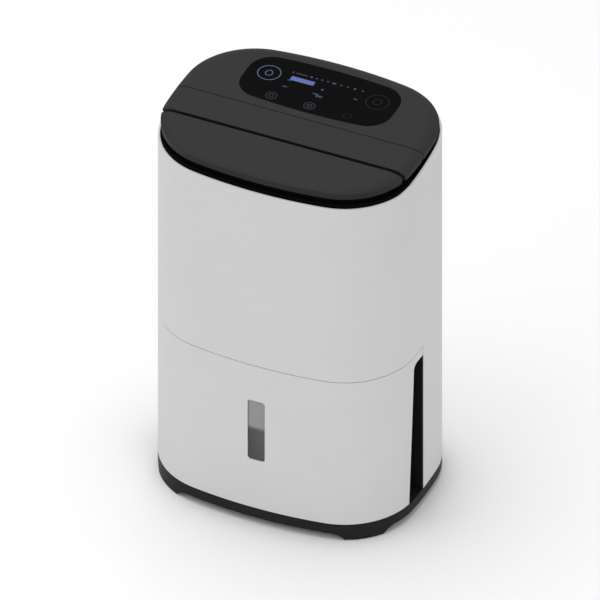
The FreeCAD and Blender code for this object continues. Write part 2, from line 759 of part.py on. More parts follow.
def make_tank():
    """Lift-out tank: white front, dark bucket, smoked window, lid, and a float with its magnet."""
    face = oval_shell("tank_front_wall_blank", "base_top + 0.5", "tank_top", "0", "tank_front_wall")
    ahead = box("tank_front_span", ("-half_width - 10", "-half_depth - 10", 0),
                ("half_width + 10", "slot_rear - seam_gap", "seam_height + 9"))
    keep("tank_front", cut("tank_front_cut", common("tank_front_side_cut", face, ahead), finger_slots(),
                           window_hole("window_cut", "0")))
    pane = oval_shell("window_blank", "window_low", "window_high", "window_inset",
                      "tank_front_wall - window_inset")
    keep("level_window", common("level_window_cut", pane, window_hole("window_shape", "0.1")))

    outside = tank_plan("tank_outside", "tank_low", "tank_body_top", "0")
    inside = tank_plan("tank_inside", "tank_low + tank_floor", "tank_body_top + 1", "tank_wall")
    keep("tank_body", cut("tank_body_cut", outside, inside))

    plate = tank_plan("lid_plate", "tank_body_top", "tank_body_top + tank_lid_thick", "0")
    rim_low = "tank_body_top - tank_lid_rim"
    rim = cut("lid_rim_ring", tank_plan("lid_rim_outside", rim_low, "tank_body_top", "tank_wall + fit_gap"),
              tank_plan("lid_rim_inside", f"{rim_low} - 1", "tank_body_top", "tank_wall + fit_gap + 2"))
    ears = []
    for sign, side in EAST_WEST:
        near = f"float_place_x + {sign} * 4.5"
        far = f"float_place_x + {sign} * 7.5"
        low_x, high_x = (near, far) if sign > 0 else (far, near)
        ears.append(box(f"float_ear_{side}", (low_x, "float_axis_y - 4", "float_axis_z - 4"),
                        (high_x, "float_axis_y + 4", "tank_body_top + 0.5")))
    bore = rod("float_ear_bore", ("float_place_x - 20", "float_axis_y", "float_axis_z"),
               "float_pin_radius + seat_gap", "40", "x")
    inlet = rod("lid_inlet", ("0", "spout_place_y", "tank_body_top - 20"), "inlet_radius", "40")
    pour = rod("lid_pour", ("pour_place_x", "pour_place_y", "tank_body_top - 20"), "pour_radius", "40")
    keep("tank_lid", cut("tank_lid_cut", fuse("tank_lid_all", plate, rim, *ears), bore, inlet, pour))

    pin = rod("pin_rod", ("float_place_x - float_pin_half", "float_axis_y", "float_axis_z"),
              "float_pin_radius", "2 * float_pin_half", "x")
    keep("float_pin", pin)
    boss = rod("float_boss", ("float_place_x - 2", "float_axis_y", "float_axis_z"), "4", "4", "x")
    arm = box("float_arm", ("float_place_x - 2", "float_axis_y - float_arm_reach", "float_axis_z - 4"),
              ("float_place_x + 2", "float_axis_y", "float_axis_z"))
    block_rear = "float_axis_y - float_arm_reach + 1"
    block = box("float_block", ("float_place_x - float_half_width", f"{block_rear} - float_length",
                                "float_axis_z - float_height"),
                ("float_place_x + float_half_width", block_rear, "float_axis_z"))
    middle = ("float_place_x", f"{block_rear} - float_length / 2", "float_axis_z - magnet_height")
    socket = rod("magnet_socket", middle, "magnet_radius + seat_gap", "magnet_height + 5")
    eye = rod("float_eye", ("float_place_x - 10", "float_axis_y", "float_axis_z"),
              "float_pin_radius + running_gap", "20", "x")
    keep("float", cut("float_cut", fuse("float_all", boss, arm, block), socket, eye))
    keep("float_magnet", rod("magnet", middle, "magnet_radius", "magnet_height"))


# ------------------------------------------------------------ frame and tray
def make_frame():
    """Partition behind the tank bay, and the drip tray across the body above it."""
    span_low = ("-half_width", "partition_face")
    span_high = ("half_width", "partition_face + partition_thick")
    wall = box("partition_block", (*span_low, "base_top"), (*span_high, "tray_low"))
    plan = oval("partition_plan", "base_top", "tray_low", "shell_inside")
    ledge_room = oval_shell("partition_ledge_room", "upper_low - fit_gap", "tray_low + 1", "0",
                            "shell_wall + ledge_reach + fit_gap")
    jamb_span = box("jamb_block", (*span_low, "base_top + fit_gap"), (*span_high, "slot_top"))
    jambs = common("slot_jambs", jamb_span,
                   oval_shell("jamb_plan", "base_top + fit_gap", "slot_top", "fit_gap", "shell_wall + 2"))
    trimmed = cut("partition_cut", common("partition_wall_trim", wall, plan), ledge_room)
    keep("partition_wall", fuse("partition_all", trimmed, jambs))

    plate = oval("tray_plate_body", "tray_low", "tray_top", "shell_inside")
    rim = oval_shell("tray_rim_wall", "tray_top", "tray_top + tray_rim", "shell_inside", "tray_wall")
    spout = rod("spout_outside", ("0", "spout_place_y", "tray_low - spout_length"), "spout_radius",
                "spout_length + 1")
    drain = rod("drain_stub", ("drain_x", "66", "tray_low - 9"), "spigot_radius - 1", "10")
    holes = [rod("spout_bore", ("0", "spout_place_y", "tray_low - 40"), "spout_radius - 2", "80"),
             rod("drain_stub_bore", ("drain_x", "66", "tray_low - 40"), "spigot_bore - 1", "80"),
             rod("suction_hole", ("suction_rise_x", "cold_middle", "tray_low - 5"),
                 "pipe_radius + 3", "20"),
             rod("discharge_hole", ("discharge_rise_x", "warm_middle", "tray_low - 5"),
                 "pipe_radius + 3", "20")]
    keep("drip_tray", cut("drip_tray_cut", fuse("drip_tray_all", plate, rim, spout, drain), *holes))
    keep("reed_switch", box("reed_block", ("float_place_x - 7", "float_axis_y - 48", "tray_low - 6"),
                            ("float_place_x + 7", "float_axis_y - 30", "tray_low")))


# ----------------------------------------------------------------- outlet deck
def lug_x(side):
    """Where the flap's ear and lug stand along X, as low and high formulas."""
    ear = ("flap_ear_place", "flap_ear_place + flap_ear_thick")
    lug = (f"{ear[1]} + flap_side_gap", f"{ear[1]} + flap_side_gap + flap_lug_thick")
    if side > 0:
        return ear, lug
    return tuple((f"-({pair[1]})", f"-({pair[0]})") for pair in (ear, lug))


def hinge_piece(name, span, foot_z):
    """A round eye about the flap's axis with a web to a height below or above it."""
    eye = rod(name + "_eye", (span[0], "flap_axis_y", "flap_axis_z"), "flap_ear_radius",
              f"({span[1]}) - ({span[0]})", "x")
    low, high = sorted((foot_z, "flap_axis_z"), key=amount)
    web = box(name + "_web", (span[0], "flap_axis_y - flap_ear_radius", low),
              (span[1], "flap_axis_y + flap_ear_radius", high))
    return fuse(name, eye, web)


def hinge_bore(name, extra):
    """A bore right through along the flap's axis."""
    return rod(name, ("-half_width", "flap_axis_y", "flap_axis_z"), f"flap_pin_radius + ({extra})",
               "body_width", "x")


def make_deck():
    """Black deck under the lid: floor, upstand ring, hinge lugs, motor cradle and posts."""
    plate = oval("deck_plate_body", "deck_low", "deck_top", "shell_inside")
    upstand = oval_shell("deck_ring", "deck_top", "ring_top", "deck_ring_inset", "deck_ring_wall")
    skirt = oval_shell("deck_skirt", "rim_front - 5", "deck_low + 0.5", "shell_inside", "deck_ring_wall")
    left_lug = hinge_piece("left_lug", lug_x(-1)[1], "deck_top")
    cradle = box("motor_cradle", ("motor_x", "flap_axis_y - 4.4", "deck_top"),
                 ("motor_x + flap_motor_length", "flap_axis_y + 4.4", "flap_axis_z - 3"))
    saddle = rod("motor_saddle", ("motor_x - 2", "flap_axis_y", "flap_axis_z"),
                 "flap_motor_radius + seat_gap", "flap_motor_length + 4", "x")
    posts = [rod(f"board_post_{x}_{y}".replace("-", "m"),
                 (f"{x} * (board_half_width - 10)", f"board_front + board_depth * {0.5 + 0.4 * y}",
                  "deck_low + 1"), "board_post_radius", "board_low - deck_low - 1") for x, y in CORNERS]
    outlet = box("outlet_hole", ("-outlet_half", "outlet_front", "deck_low - 1"),
                 ("outlet_half", "outlet_rear", "deck_top + 1"))
    post_holes = [rod(f"post_hole_{side}", (f"{sign} * handle_post_x", "handle_post_y", "deck_low - 1"),
                      "handle_post_radius + 0.5", "deck_plate + 2") for sign, side in EAST_WEST]
    swing_room = box("flap_swing_room",
                     ("-half_width", "flap_axis_y - 9", "deck_top - 1"),
                     ("half_width", "flap_axis_y + 14", "ring_top + 5"))
    ring_wall = cut("deck_ring_cut", upstand, swing_room)
    screw_holes = [rod(f"lid_screw_hole_{place}", (x, y, "deck_low - 1"), "1.9", "deck_plate + 2")
                   for place, (x, y) in enumerate(lid_screw_places())]
    solid = fuse("deck_all", plate, skirt, ring_wall, left_lug, cradle, *posts)
    keep("outlet_deck", cut("deck_cut", solid, saddle, hinge_bore("lug_bore", "running_gap"), outlet,
                            *post_holes, *screw_holes))

    frame = box("grille_outside", ("-outlet_half + 0.4", "outlet_front + 0.4", "deck_top - grille_depth"),
                ("outlet_half - 0.4", "outlet_rear - 0.4", "deck_top"))
    flange = box("grille_flange", ("-outlet_half - 1.5", "outlet_front - 1", "deck_top"),
                 ("outlet_half + 1.5", "outlet_rear + 1", "deck_top + 1.5"))
    window = box("grille_window",
                 ("-outlet_half + grille_frame", "outlet_front + grille_frame", "deck_low - 20"),
                 ("outlet_half - grille_frame", "outlet_rear - grille_frame", "deck_top + 10"))
    vanes = []
    count = int((amount("outlet_rear - outlet_front") - 2 * amount("grille_frame")) / amount("grille_pitch"))
    for place in range(1, count + 1):
        middle = f"outlet_front + grille_frame + {place} * grille_pitch"
        vanes.append(box(f"grille_vane_{place}",
                         ("-outlet_half + 1", f"{middle} - grille_vane / 2", "deck_top - grille_depth"),
                         ("outlet_half - 1", f"{middle} + grille_vane / 2", "deck_top")))
    for place in (-1, 0, 1):
        middle = f"{place} * outlet_half / 2"
        vanes.append(box(f"grille_rib_{place + 1}",
                         (f"{middle} - 1", "outlet_front + 1", "deck_top - grille_depth"),
                         (f"{middle} + 1", "outlet_rear - 1", "deck_top - 2")))
    surround = cut("grille_frame_cut", fuse("grille_blank", frame, flange), window)
    keep("outlet_grille", fuse("grille_all", surround, *vanes))


def lid_screw_places():
    """Places of the screws that hold the rear lid."""
    front_x, rear_x = "half_width - lid_boss_front_margin", "half_width - lid_boss_rear_margin_x"
    rear_y = "half_depth - lid_boss_rear_margin_y"
    return [(f"-({front_x})", "lid_boss_front_y"), (front_x, "lid_boss_front_y"), (f"-({rear_x})", rear_y),
            (rear_x, rear_y)]


# ------------------------------------------------------------------------- lid
def lid_blank():
    """The whole lid as one slab with a soft outer edge, from which its three parts are cut."""
    blank = oval("lid_slab", "lid_low", "total_height", "lid_inset")

    def top_edge(edge):
        return abs(edge.BoundBox.ZMin - amount("total_height")) < 0.01 and edge.BoundBox.ZLength < 0.01
    return round_edges("lid_slab_round", blank, "lid_edge_round", top_edge)


def top_edges(foot):
    """A test that picks the level edges of an upright can, apart from those at its foot."""
    return lambda edge: edge.BoundBox.ZLength < 0.01 and edge.BoundBox.ZMin > amount(foot) + 1


def slab(name, low, high):
    """The part of the body's space between two planes across Y."""
    wide = "(half_width + 10)"
    return box(name, (f"-{wide}", low, "lid_low - 60"), (wide, high, "total_height + 10"))


def make_lid():
    """Flap over the air outlet, lift-up handle and rear lid with the glass panel."""
    blank = lid_blank()
    skin_low = "total_height - lid_skin"
    pocket = oval("lid_pocket", "lid_low - 1", skin_low, "lid_inset + lid_rim")

    # Flap
    flap_part = common("flap_part", blank, slab("flap_span", "-half_depth - 5", "flap_rear"))
    flap_pocket = common("flap_pocket", pocket,
                         slab("flap_pocket_span", "-half_depth - 5", "flap_rear - 2.5"))
    rooms = []
    for sign, side in EAST_WEST:
        low_x, high_x = f"{sign} * (flap_ear_place - 1)", f"{sign} * (motor_x + flap_motor_length + 1.5)"
        span = (low_x, high_x) if sign > 0 else (high_x, low_x)
        rooms.append(box(f"hinge_room_{side}", (span[0], "flap_axis_y - 10", "lid_low - 1"),
                         (span[1], "flap_rear + 1", skin_low)))
    ears = [hinge_piece(f"flap_ear_{side}", lug_x(sign)[0], f"{skin_low} + 0.5") for sign, side in EAST_WEST]
    hollow = cut("flap_hollow", flap_part, flap_pocket, *rooms)
    keep("outlet_flap", cut("flap_cut", fuse("flap_all", hollow, *ears), hinge_bore("ear_bore", "seat_gap")))
    ear, lug = lug_x(-1)
    keep("flap_pin", rod("left_flap_pin", (lug[0], "flap_axis_y", "flap_axis_z"), "flap_pin_radius",
                         f"({ear[1]}) - ({lug[0]})", "x"))
    keep("flap_motor", ring("flap_motor_can", ("motor_x", "flap_axis_y", "flap_axis_z"), "flap_motor_radius",
                            "flap_pin_radius + running_gap", "flap_motor_length", "x"))
    keep("flap_drive_shaft", rod("drive_shaft", ("flap_ear_place", "flap_axis_y", "flap_axis_z"),
                                 "flap_pin_radius", "motor_x + flap_motor_length - 2 - flap_ear_place", "x"))

    # Carry handle
    bar = common("handle_bar", blank, slab("handle_span", "handle_front", "thin_seam"))
    grip = box("handle_grip_hollow", ("-108", "handle_front + 4", "lid_low - 1"),
               ("108", "thin_seam - 4", skin_low))
    posts = []
    screws = []
    for sign, side in EAST_WEST:
        place = (f"{sign} * handle_post_x", "handle_post_y")
        posts.append(rod(f"handle_post_{side}", (*place, "post_low"), "handle_post_radius",
                         "lid_low + 1 - post_low"))
        screws.append(rod(f"stop_screw_hole_{side}", (*place, "post_low - 1"), "2", "13"))
    handle = fuse("handle_all", cut("handle_bar_cut", bar, grip), *posts)
    keep("carry_handle", cut("carry_handle_cut", handle, *screws))
    guides = []
    stops = []
    for sign, side in EAST_WEST:
        place = (f"{sign} * handle_post_x", "handle_post_y")
        bore = "handle_post_radius + running_gap"
        sleeve = rod(f"guide_sleeve_{side}", (*place, "guide_low"), f"{bore} + handle_guide_wall",
                     "handle_guide_length")
        flange = rod(f"guide_flange_{side}", (*place, "deck_low - 3"),
                     f"{bore} + handle_guide_wall + handle_guide_flange", "3")
        guides.append(cut(f"guide_{side}", fuse(f"guide_all_{side}", sleeve, flange),
                          rod(f"guide_bore_{side}", (*place, "guide_low - 1"), bore,
                              "handle_guide_length + 2")))
        head = rod(f"stop_disc_{side}", (*place, "post_low - handle_stop_thick"), "handle_stop_radius",
                   "handle_stop_thick")
        shank = rod(f"stop_shank_{side}", (*place, "post_low - 1"), "1.98", "12")
        stops.append(fuse(f"stop_{side}", head, shank))
    keep("handle_guides", group("handle_guide_pair", *guides))
    keep("handle_stops", group("handle_stop_pair", *stops))

    # Rear lid and panel
    rear = common("rear_lid_part", blank, slab("rear_lid_span", "lid_split", "half_depth + 5"))
    rear_pocket = common("rear_pocket", oval("rear_pocket_plan", "lid_low - 1", "total_height - 3.5",
                                             "lid_inset + lid_rim"),
                         slab("rear_pocket_span", "lid_split + 2.5", "half_depth + 5"))
    seat = oval("glass_seat", "glass_low", "total_height + 1", "-0.15", GLASS_PLAN)
    sight = oval("glass_sight", "lid_low - 1", "total_height + 1", "glass_ledge", GLASS_PLAN)
    bosses = []
    for place, (x, y) in enumerate(lid_screw_places()):
        bosses.append(ring(f"lid_boss_{place}", (x, y, "deck_top + fit_gap"), "boss_radius", "1.65",
                           "total_height - 3 - deck_top - fit_gap"))
    keep("rear_lid", fuse("rear_lid_all", cut("rear_lid_cut", rear, rear_pocket, seat, sight), *bosses))
    keep("panel_glass", oval("glass_plate", "glass_low", "glass_low + glass_thick", "0", GLASS_PLAN))
    screws = []
    for place, (x, y) in enumerate(lid_screw_places()):
        head = rod(f"lid_screw_head_{place}", (x, y, "deck_low - 2.4"), "3.4", "2.4")
        shank = rod(f"lid_screw_shank_{place}", (x, y, "deck_low - 1"), "1.6", "deck_plate + 12")
        screws.append(fuse(f"lid_screw_{place}", head, shank))
    keep("lid_screws", group("lid_screw_group", *screws))


def make_panel():
    """Display board on posts under the glass, its light module and the touch springs."""
    plate = box("board_plate", ("-board_half_width", "board_front", "board_low"),
                ("board_half_width", "board_front + board_depth", "board_high"))
    display = box("display_block", ("-46", "60", "board_high - 0.5"), ("-8", "73", "glass_low - 1"))
    keep("display_board", fuse("display_board_all", plate, display))
    springs = []
    keys = (("-key_wide", "key_far"), ("key_wide", "key_far"), ("-key_narrow", "key_near"), ("0", "key_near"),
            ("key_narrow", "key_near"))
    for place, (x, y) in enumerate(keys):
        springs.append(ring(f"key_spring_{place}", (x, y, "board_high"), "key_spring_radius",
                            "key_spring_radius - 1", "glass_low - board_high - 0.2"))
    keep("touch_springs", group("touch_spring_group", *springs))


# ------------------------------------------------------------------------- fan
def make_fan():
    """Scroll casing, centrifugal wheel, flat motor with its shaft, and the plenum under the outlet."""
    centre = ("0", "scroll_front", "fan_axis_z")
    drum = rod("scroll_drum", centre, "scroll_radius", "scroll_depth", "y")
    neck = box("scroll_neck", ("scroll_outlet_left", "scroll_front", "fan_axis_z"),
               ("scroll_radius", "fan_back", "scroll_top"))
    room = rod("scroll_room", ("0", "scroll_front + scroll_wall", "fan_axis_z"),
               "scroll_radius - scroll_wall", "scroll_depth - 2 * scroll_wall", "y")
    throat = box("scroll_throat",
                 ("scroll_outlet_left + scroll_wall", "scroll_front + scroll_wall", "fan_axis_z"),
                 ("scroll_radius - scroll_wall", "fan_back - scroll_wall", "scroll_top + 1"))
    feet = [box(f"scroll_foot_{side}", (f"{sign} * scroll_foot_x - 6", "scroll_front", "tray_top"),
                (f"{sign} * scroll_foot_x + 6", "fan_back", "fan_axis_z - scroll_radius * 0.72"))
            for sign, side in EAST_WEST]
    inlet = rod("scroll_inlet_hole", ("fan_axis_x", "fan_back - 10", "fan_axis_z"), "scroll_inlet", "20", "y")
    hub_hole = rod("scroll_hub_hole", ("fan_axis_x", "scroll_front - 5", "fan_axis_z"),
                   "fan_shaft_radius + 8", "10", "y")
    screw_holes = [rod(f"motor_screw_hole_{place}", (x, "scroll_front - 5", z), "2.1", "10", "y")
                   for place, (x, z) in enumerate(motor_screw_places())]
    body = cut("scroll_body", fuse("scroll_blank", drum, neck), room, throat)
    legs = cut("scroll_legs", group("scroll_feet", *feet),
               rod("scroll_leg_trim", centre, "scroll_radius - 0.5", "scroll_depth", "y"))
    keep("fan_scroll", cut("scroll_cut", fuse("scroll_all", body, legs), inlet, hub_hole, *screw_holes))

    duct = box("duct_outside", ("-outlet_half - 2", "outlet_front - 2", "scroll_top"),
               ("outlet_half + 2", "fan_back + 1", "deck_low"))
    air = box("duct_air", ("-outlet_half", "outlet_front", "scroll_top + 2"),
              ("outlet_half", "fan_back - 1", "deck_low + 1"))
    mouth = box("duct_mouth",
                ("scroll_outlet_left + scroll_wall", "scroll_front + scroll_wall", "scroll_top - 1"),
                ("scroll_radius - scroll_wall", "fan_back - scroll_wall", "scroll_top + 3"))
    keep("outlet_duct", cut("duct_cut", duct, air, mouth))

    wheel = DOC.addObject("PartDesign::Body", "impeller_body")
    back = sketch_on(wheel, "wheel_back_sketch", "XZ_Plane", "-(impeller_front) - 2")
    add_ring(back, "impeller_radius", "fan_shaft_radius + seat_gap")
    pad = wheel.newObject("PartDesign::Pad", "wheel_back")
    pad.Profile = back
    pad.Length = 2.0
    hub = sketch_on(wheel, "wheel_hub_sketch", "XZ_Plane", "-(impeller_front) - fan_hub_depth")
    add_ring(hub, "fan_hub_radius", "fan_shaft_radius + seat_gap")
    hub_pad = wheel.newObject("PartDesign::Pad", "wheel_hub")
    hub_pad.Profile = hub
    bind(hub_pad, Length="fan_hub_depth")
    rim = sketch_on(wheel, "wheel_rim_sketch", "XZ_Plane", "-(impeller_front) - impeller_depth")
    blade = sketch_on(wheel, "wheel_blade_sketch", "XZ_Plane", "-(impeller_front) - impeller_depth")
    add_blade(blade)
    blade_pad = wheel.newObject("PartDesign::Pad", "wheel_blade")
    blade_pad.Profile = blade
    bind(blade_pad, Length="impeller_depth - 1")
    DOC.recompute()
    pattern = wheel.newObject("PartDesign::PolarPattern", "wheel_blades")
    pattern.Originals = [blade_pad]
    pattern.Axis = (blade, ["N_Axis"])
    pattern.Angle = 360
    pattern.Occurrences = int(amount("blade_count"))
    wheel.Tip = pattern
    add_ring(rim, "impeller_radius", "impeller_radius - blade_length + 5")
    rim_pad = wheel.newObject("PartDesign::Pad", "wheel_rim")
    rim_pad.Profile = rim
    rim_pad.Length = 3.0
    wheel.Tip = rim_pad
    bind(wheel, x="fan_axis_x", z="fan_axis_z")
    keep("impeller", wheel)

    axle = ("flange_front - motor_depth + 3", "impeller_front + fan_hub_depth + 9")
    keep("fan_shaft", rod("shaft_rod", ("fan_axis_x", axle[0], "fan_axis_z"), "fan_shaft_radius",
                          f"({axle[1]}) - ({axle[0]})", "y"))
    keep("fan_nut", ring("nut_ring", ("fan_axis_x", "impeller_front + fan_hub_depth", "fan_axis_z"),
                         "fan_shaft_radius + 4", "fan_shaft_radius + seat_gap", "6", "y"))
    can = ring("motor_can", ("fan_axis_x", "flange_front - motor_depth", "fan_axis_z"),
               "motor_radius", "fan_shaft_radius + running_gap", "motor_depth", "y")
    flange = ring("motor_flange", ("fan_axis_x", "flange_front", "fan_axis_z"), "motor_radius + 12",
                  "fan_shaft_radius + 8", "flange_thick", "y")
    flange_holes = [rod(f"flange_hole_{place}", (x, "flange_front - 5", z), "2.1", "12", "y")
                    for place, (x, z) in enumerate(motor_screw_places())]
    keep("fan_motor", cut("fan_motor_cut", fuse("fan_motor_all", can, flange), *flange_holes))
    screws = []
    for place, (x, z) in enumerate(motor_screw_places()):
        head = rod(f"motor_screw_head_{place}", (x, "flange_front - 2.4", z), "3.4", "2.4", "y")
        shank = rod(f"motor_screw_shank_{place}", (x, "flange_front - 1", z), "2", "7", "y")
        screws.append(fuse(f"motor_screw_{place}", head, shank))
    keep("motor_screws", group("motor_screw_group", *screws))

    outer = box("shroud_outside", ("coil_left + 2", "shroud_front", "tray_top"),
                ("coil_right - 2", "condenser_front - fit_gap", "coil_low + coil_height"))
    inner = box("shroud_room", ("coil_left + 4", "shroud_front + 2", "tray_top + 2"),
                ("coil_right - 4", "condenser_front + 5", "coil_low + coil_height - 2"))
    mouth_hole = rod("shroud_mouth", ("fan_axis_x", "shroud_front - 5", "fan_axis_z"),
                     "scroll_inlet + 2", "12", "y")
    keep("air_shroud", cut("shroud_cut", outer, inner, mouth_hole))


def motor_screw_places():
    """Three screws round the motor, as (x, z) formulas."""
    places = []
    for turn in (90, 210, 330):
        across = math.cos(math.radians(turn))
        up = math.sin(math.radians(turn))
        places.append((f"fan_axis_x + (motor_radius + 7) * {across:.6f}",
                       f"fan_axis_z + (motor_radius + 7) * {up:.6f}"))
    return places


def add_ring(sketch, outer, inner):
    """Two circles about the sketch's origin."""
    for radius in (outer, inner):
        circle = sketch.addGeometry(Part.Circle(Vector(0, 0, 0), Vector(0, 0, 1), amount(radius)), False)
        sketch.addConstraint(Sketcher.Constraint("Coincident", circle, 3, -1, 1))
        place = sketch.addConstraint(Sketcher.Constraint("Radius", circle, amount(radius)))
        sketch.setExpression(f"Constraints[{place}]", cells(radius))


def add_blade(sketch):
    """One straight blade across the wheel's outer band, as a thin rectangle."""
    far = "impeller_radius - 0.4"
    near = "impeller_radius - blade_length"
    half = "blade_thick / 2"
    points = [(near, f"-{half}"), (far, f"-{half}"), (far, half), (near, half)]
    numbers = [(amount(first), amount(second)) for first, second in points]
    for index, point in enumerate(numbers):
        following = numbers[(index + 1) % 4]
        sketch.addGeometry(Part.LineSegment(Vector(*point, 0), Vector(*following, 0)), False)
    for index, (first, second) in enumerate(points):
        sketch.addConstraint(Sketcher.Constraint("Coincident", (index - 1) % 4, 2, index, 1))
        for kind, formula, number in zip(("DistanceX", "DistanceY"), (first, second), numbers[index]):
            place = sketch.addConstraint(Sketcher.Constraint(kind, -1, 1, index, 1, number))
            sketch.setExpression(f"Constraints[{place}]", cells(formula))


# ----------------------------------------------------------------- cold circuit
def make_coil(label, front, first_bend):
    """A finned block and the serpentine tube through it, whose lowest bend is at a given side."""
    middle = f"{front} + coil_thick / 2"
    block = box(label + "_block", ("coil_left + 2", front, "coil_low"),
                ("coil_right - 2", f"{front} + coil_thick", "coil_low + coil_height"))
    grooves = []
    count = int((amount("coil_right - coil_left") - 8) / amount("fin_pitch"))
    for place in range(count):
        start = f"coil_left + 4 + {place} * fin_pitch"
        grooves.append(box(f"{label}_groove_{place}", (start, f"{front} - 1", "coil_low + fin_rail"),
                           (f"{start} + fin_groove", f"{front} + coil_thick + 1",
                            "coil_low + coil_height - fin_rail")))
    passes = int(amount("coil_passes"))
    holes = []
    runs = []
    for place in range(passes):
        level = f"first_pass + {place} * coil_pitch"
        holes.append(rod(f"{label}_hole_{place}", ("coil_left - 10", middle, level),
                         "coil_tube + running_gap", "coil_right - coil_left + 20", "x"))
        runs.append(rod(f"{label}_run_{place}", ("coil_left - 4", middle, level), "coil_tube",
                        "coil_right - coil_left + 8", "x"))
    for place in range(passes - 1):
        right = (place % 2 == 0) == (first_bend == "right")
        bend = DOC.addObject("Part::Torus", f"{label}_bend_{place}")
        turn = FreeCAD.Rotation(Vector(1, 0, 0), 90)
        spin = FreeCAD.Rotation(Vector(0, 0, 1), -90 if right else 90)
        bend.Placement.Rotation = turn.multiply(spin)
        bend.Angle3 = 180
        bind(bend, Radius1="coil_pitch / 2", Radius2="coil_tube",
             x="coil_right + 4" if right else "coil_left - 4", y=middle,
             z=f"first_pass + ({place} + 0.5) * coil_pitch")
        runs.append(bend)
    keep(label + "_fins", cut(label + "_fins_cut", block, *grooves, *holes))
    keep(label + "_coil", fuse(label + "_coil_all", *runs))
    return holes


def make_circuit():
    """Evaporator and condenser with their end plates, the compressor on its grommets, and the pipes."""
    holes = (make_coil("evaporator", "evaporator_front", "left")
             + make_coil("condenser", "condenser_front", "right"))
    plates = []
    for low, high, side in (("coil_left", "coil_left + end_plate", "left"),
                            ("coil_right - end_plate", "coil_right", "right")):
        plate = box(f"end_plate_{side}", (low, "condenser_front", "tray_top"),
                    (high, "evaporator_front + coil_thick", "coil_low + coil_height + 4"))
        plates.append(cut(f"end_plate_{side}_cut", plate, *holes))
    keep("coil_end_plates", group("end_plate_pair", *plates))

    place = ("compressor_x", "compressor_y")
    can = rod("compressor_can", (*place, "compressor_foot"), "compressor_radius", "compressor_height")
    disc = rod("compressor_disc", (*place, "compressor_low"), "mount_disc_radius", "mount_disc_thick")
    rounded = round_edges("compressor_round_can", can, "compressor_round", top_edges("compressor_foot"))
    stud_places = []
    for turn in (30, 150, 270):
        across = math.cos(math.radians(turn))
        ahead = math.sin(math.radians(turn))
        stud_places.append((f"compressor_x + (mount_disc_radius - 6) * {across:.6f}",
                            f"compressor_y + (mount_disc_radius - 6) * {ahead:.6f}"))
    disc_holes = [rod(f"disc_hole_{index}", (x, y, "compressor_low - 1"), "stud_radius + 0.5", "6")
                  for index, (x, y) in enumerate(stud_places)]
    trimmed = cut("disc_drilled", disc, *disc_holes)
    keep("compressor", fuse("compressor_all", rounded, trimmed))
    grommets = [ring(f"grommet_{index}", (x, y, "base_top"), "grommet_radius", "stud_radius + 0.1",
                     "grommet_height")
                for index, (x, y) in enumerate(stud_places)]
    keep("compressor_grommets", group("grommet_group", *grommets))
    studs = []
    for index, (x, y) in enumerate(stud_places):
        stem = rod(f"stud_stem_{index}", (x, y, "base_top"), "stud_radius", "compressor_foot + 4 - base_top")
        nut = rod(f"stud_nut_{index}", (x, y, "compressor_foot"), "stud_radius + 1.2", "3.5")
        studs.append(fuse(f"stud_{index}", stem, nut))
    keep("compressor_studs", group("stud_group", *studs))

    bottle = rod("accumulator_bottle", ("accumulator_x", "accumulator_y", "accumulator_low"),
                 "accumulator_radius", "accumulator_height")
    soft = round_edges("accumulator_round", bottle, "8", lambda edge: edge.BoundBox.ZLength < 0.01)
    strap = box("accumulator_strap", ("compressor_x + compressor_radius - 0.3", "accumulator_y - 6", "110"),
                ("accumulator_x - accumulator_radius + 2", "accumulator_y + 6", "128"))
    keep("accumulator", fuse("accumulator_all", soft, cut("strap_cut", strap, rod(
        "strap_trim", (*place, "100"), "compressor_radius + running_gap", "40"))))

    top = "accumulator_low + accumulator_height"
    tube("suction_pipe",
         [("accumulator_x", "accumulator_y", top), ("accumulator_x", "accumulator_y", "pipe_level"),
          ("suction_rise_x", "cold_middle - 42", "pipe_level"),
          ("suction_rise_x", "cold_middle", "pipe_level"),
          ("suction_rise_x", "cold_middle", "first_pass"),
          ("coil_right + 4.2", "cold_middle", "first_pass")],
         "pipe_radius", "pipe_bend")
    shell_top = "compressor_foot + compressor_height"
    tube("discharge_pipe",
         [("compressor_x", "compressor_y", shell_top), ("compressor_x", "compressor_y", "pipe_level + 6"),
          ("discharge_rise_x", "warm_middle", "pipe_level + 6"),
          ("discharge_rise_x", "warm_middle", "first_pass"),
          ("coil_left - 4.2", "warm_middle", "first_pass")],
         "pipe_radius", "pipe_bend")
    last = "first_pass + (coil_passes - 1) * coil_pitch"
    over = "coil_low + coil_height + 11"
    tube("capillary_tube",
         [("coil_left - 4.2", "warm_middle", last), ("discharge_rise_x", "warm_middle", last),
          ("discharge_rise_x", "warm_middle", over), ("suction_rise_x", "cold_middle", over),
          ("suction_rise_x", "cold_middle", last), ("coil_right + 4.2", "cold_middle", last)],
         "capillary_radius", "pipe_bend")


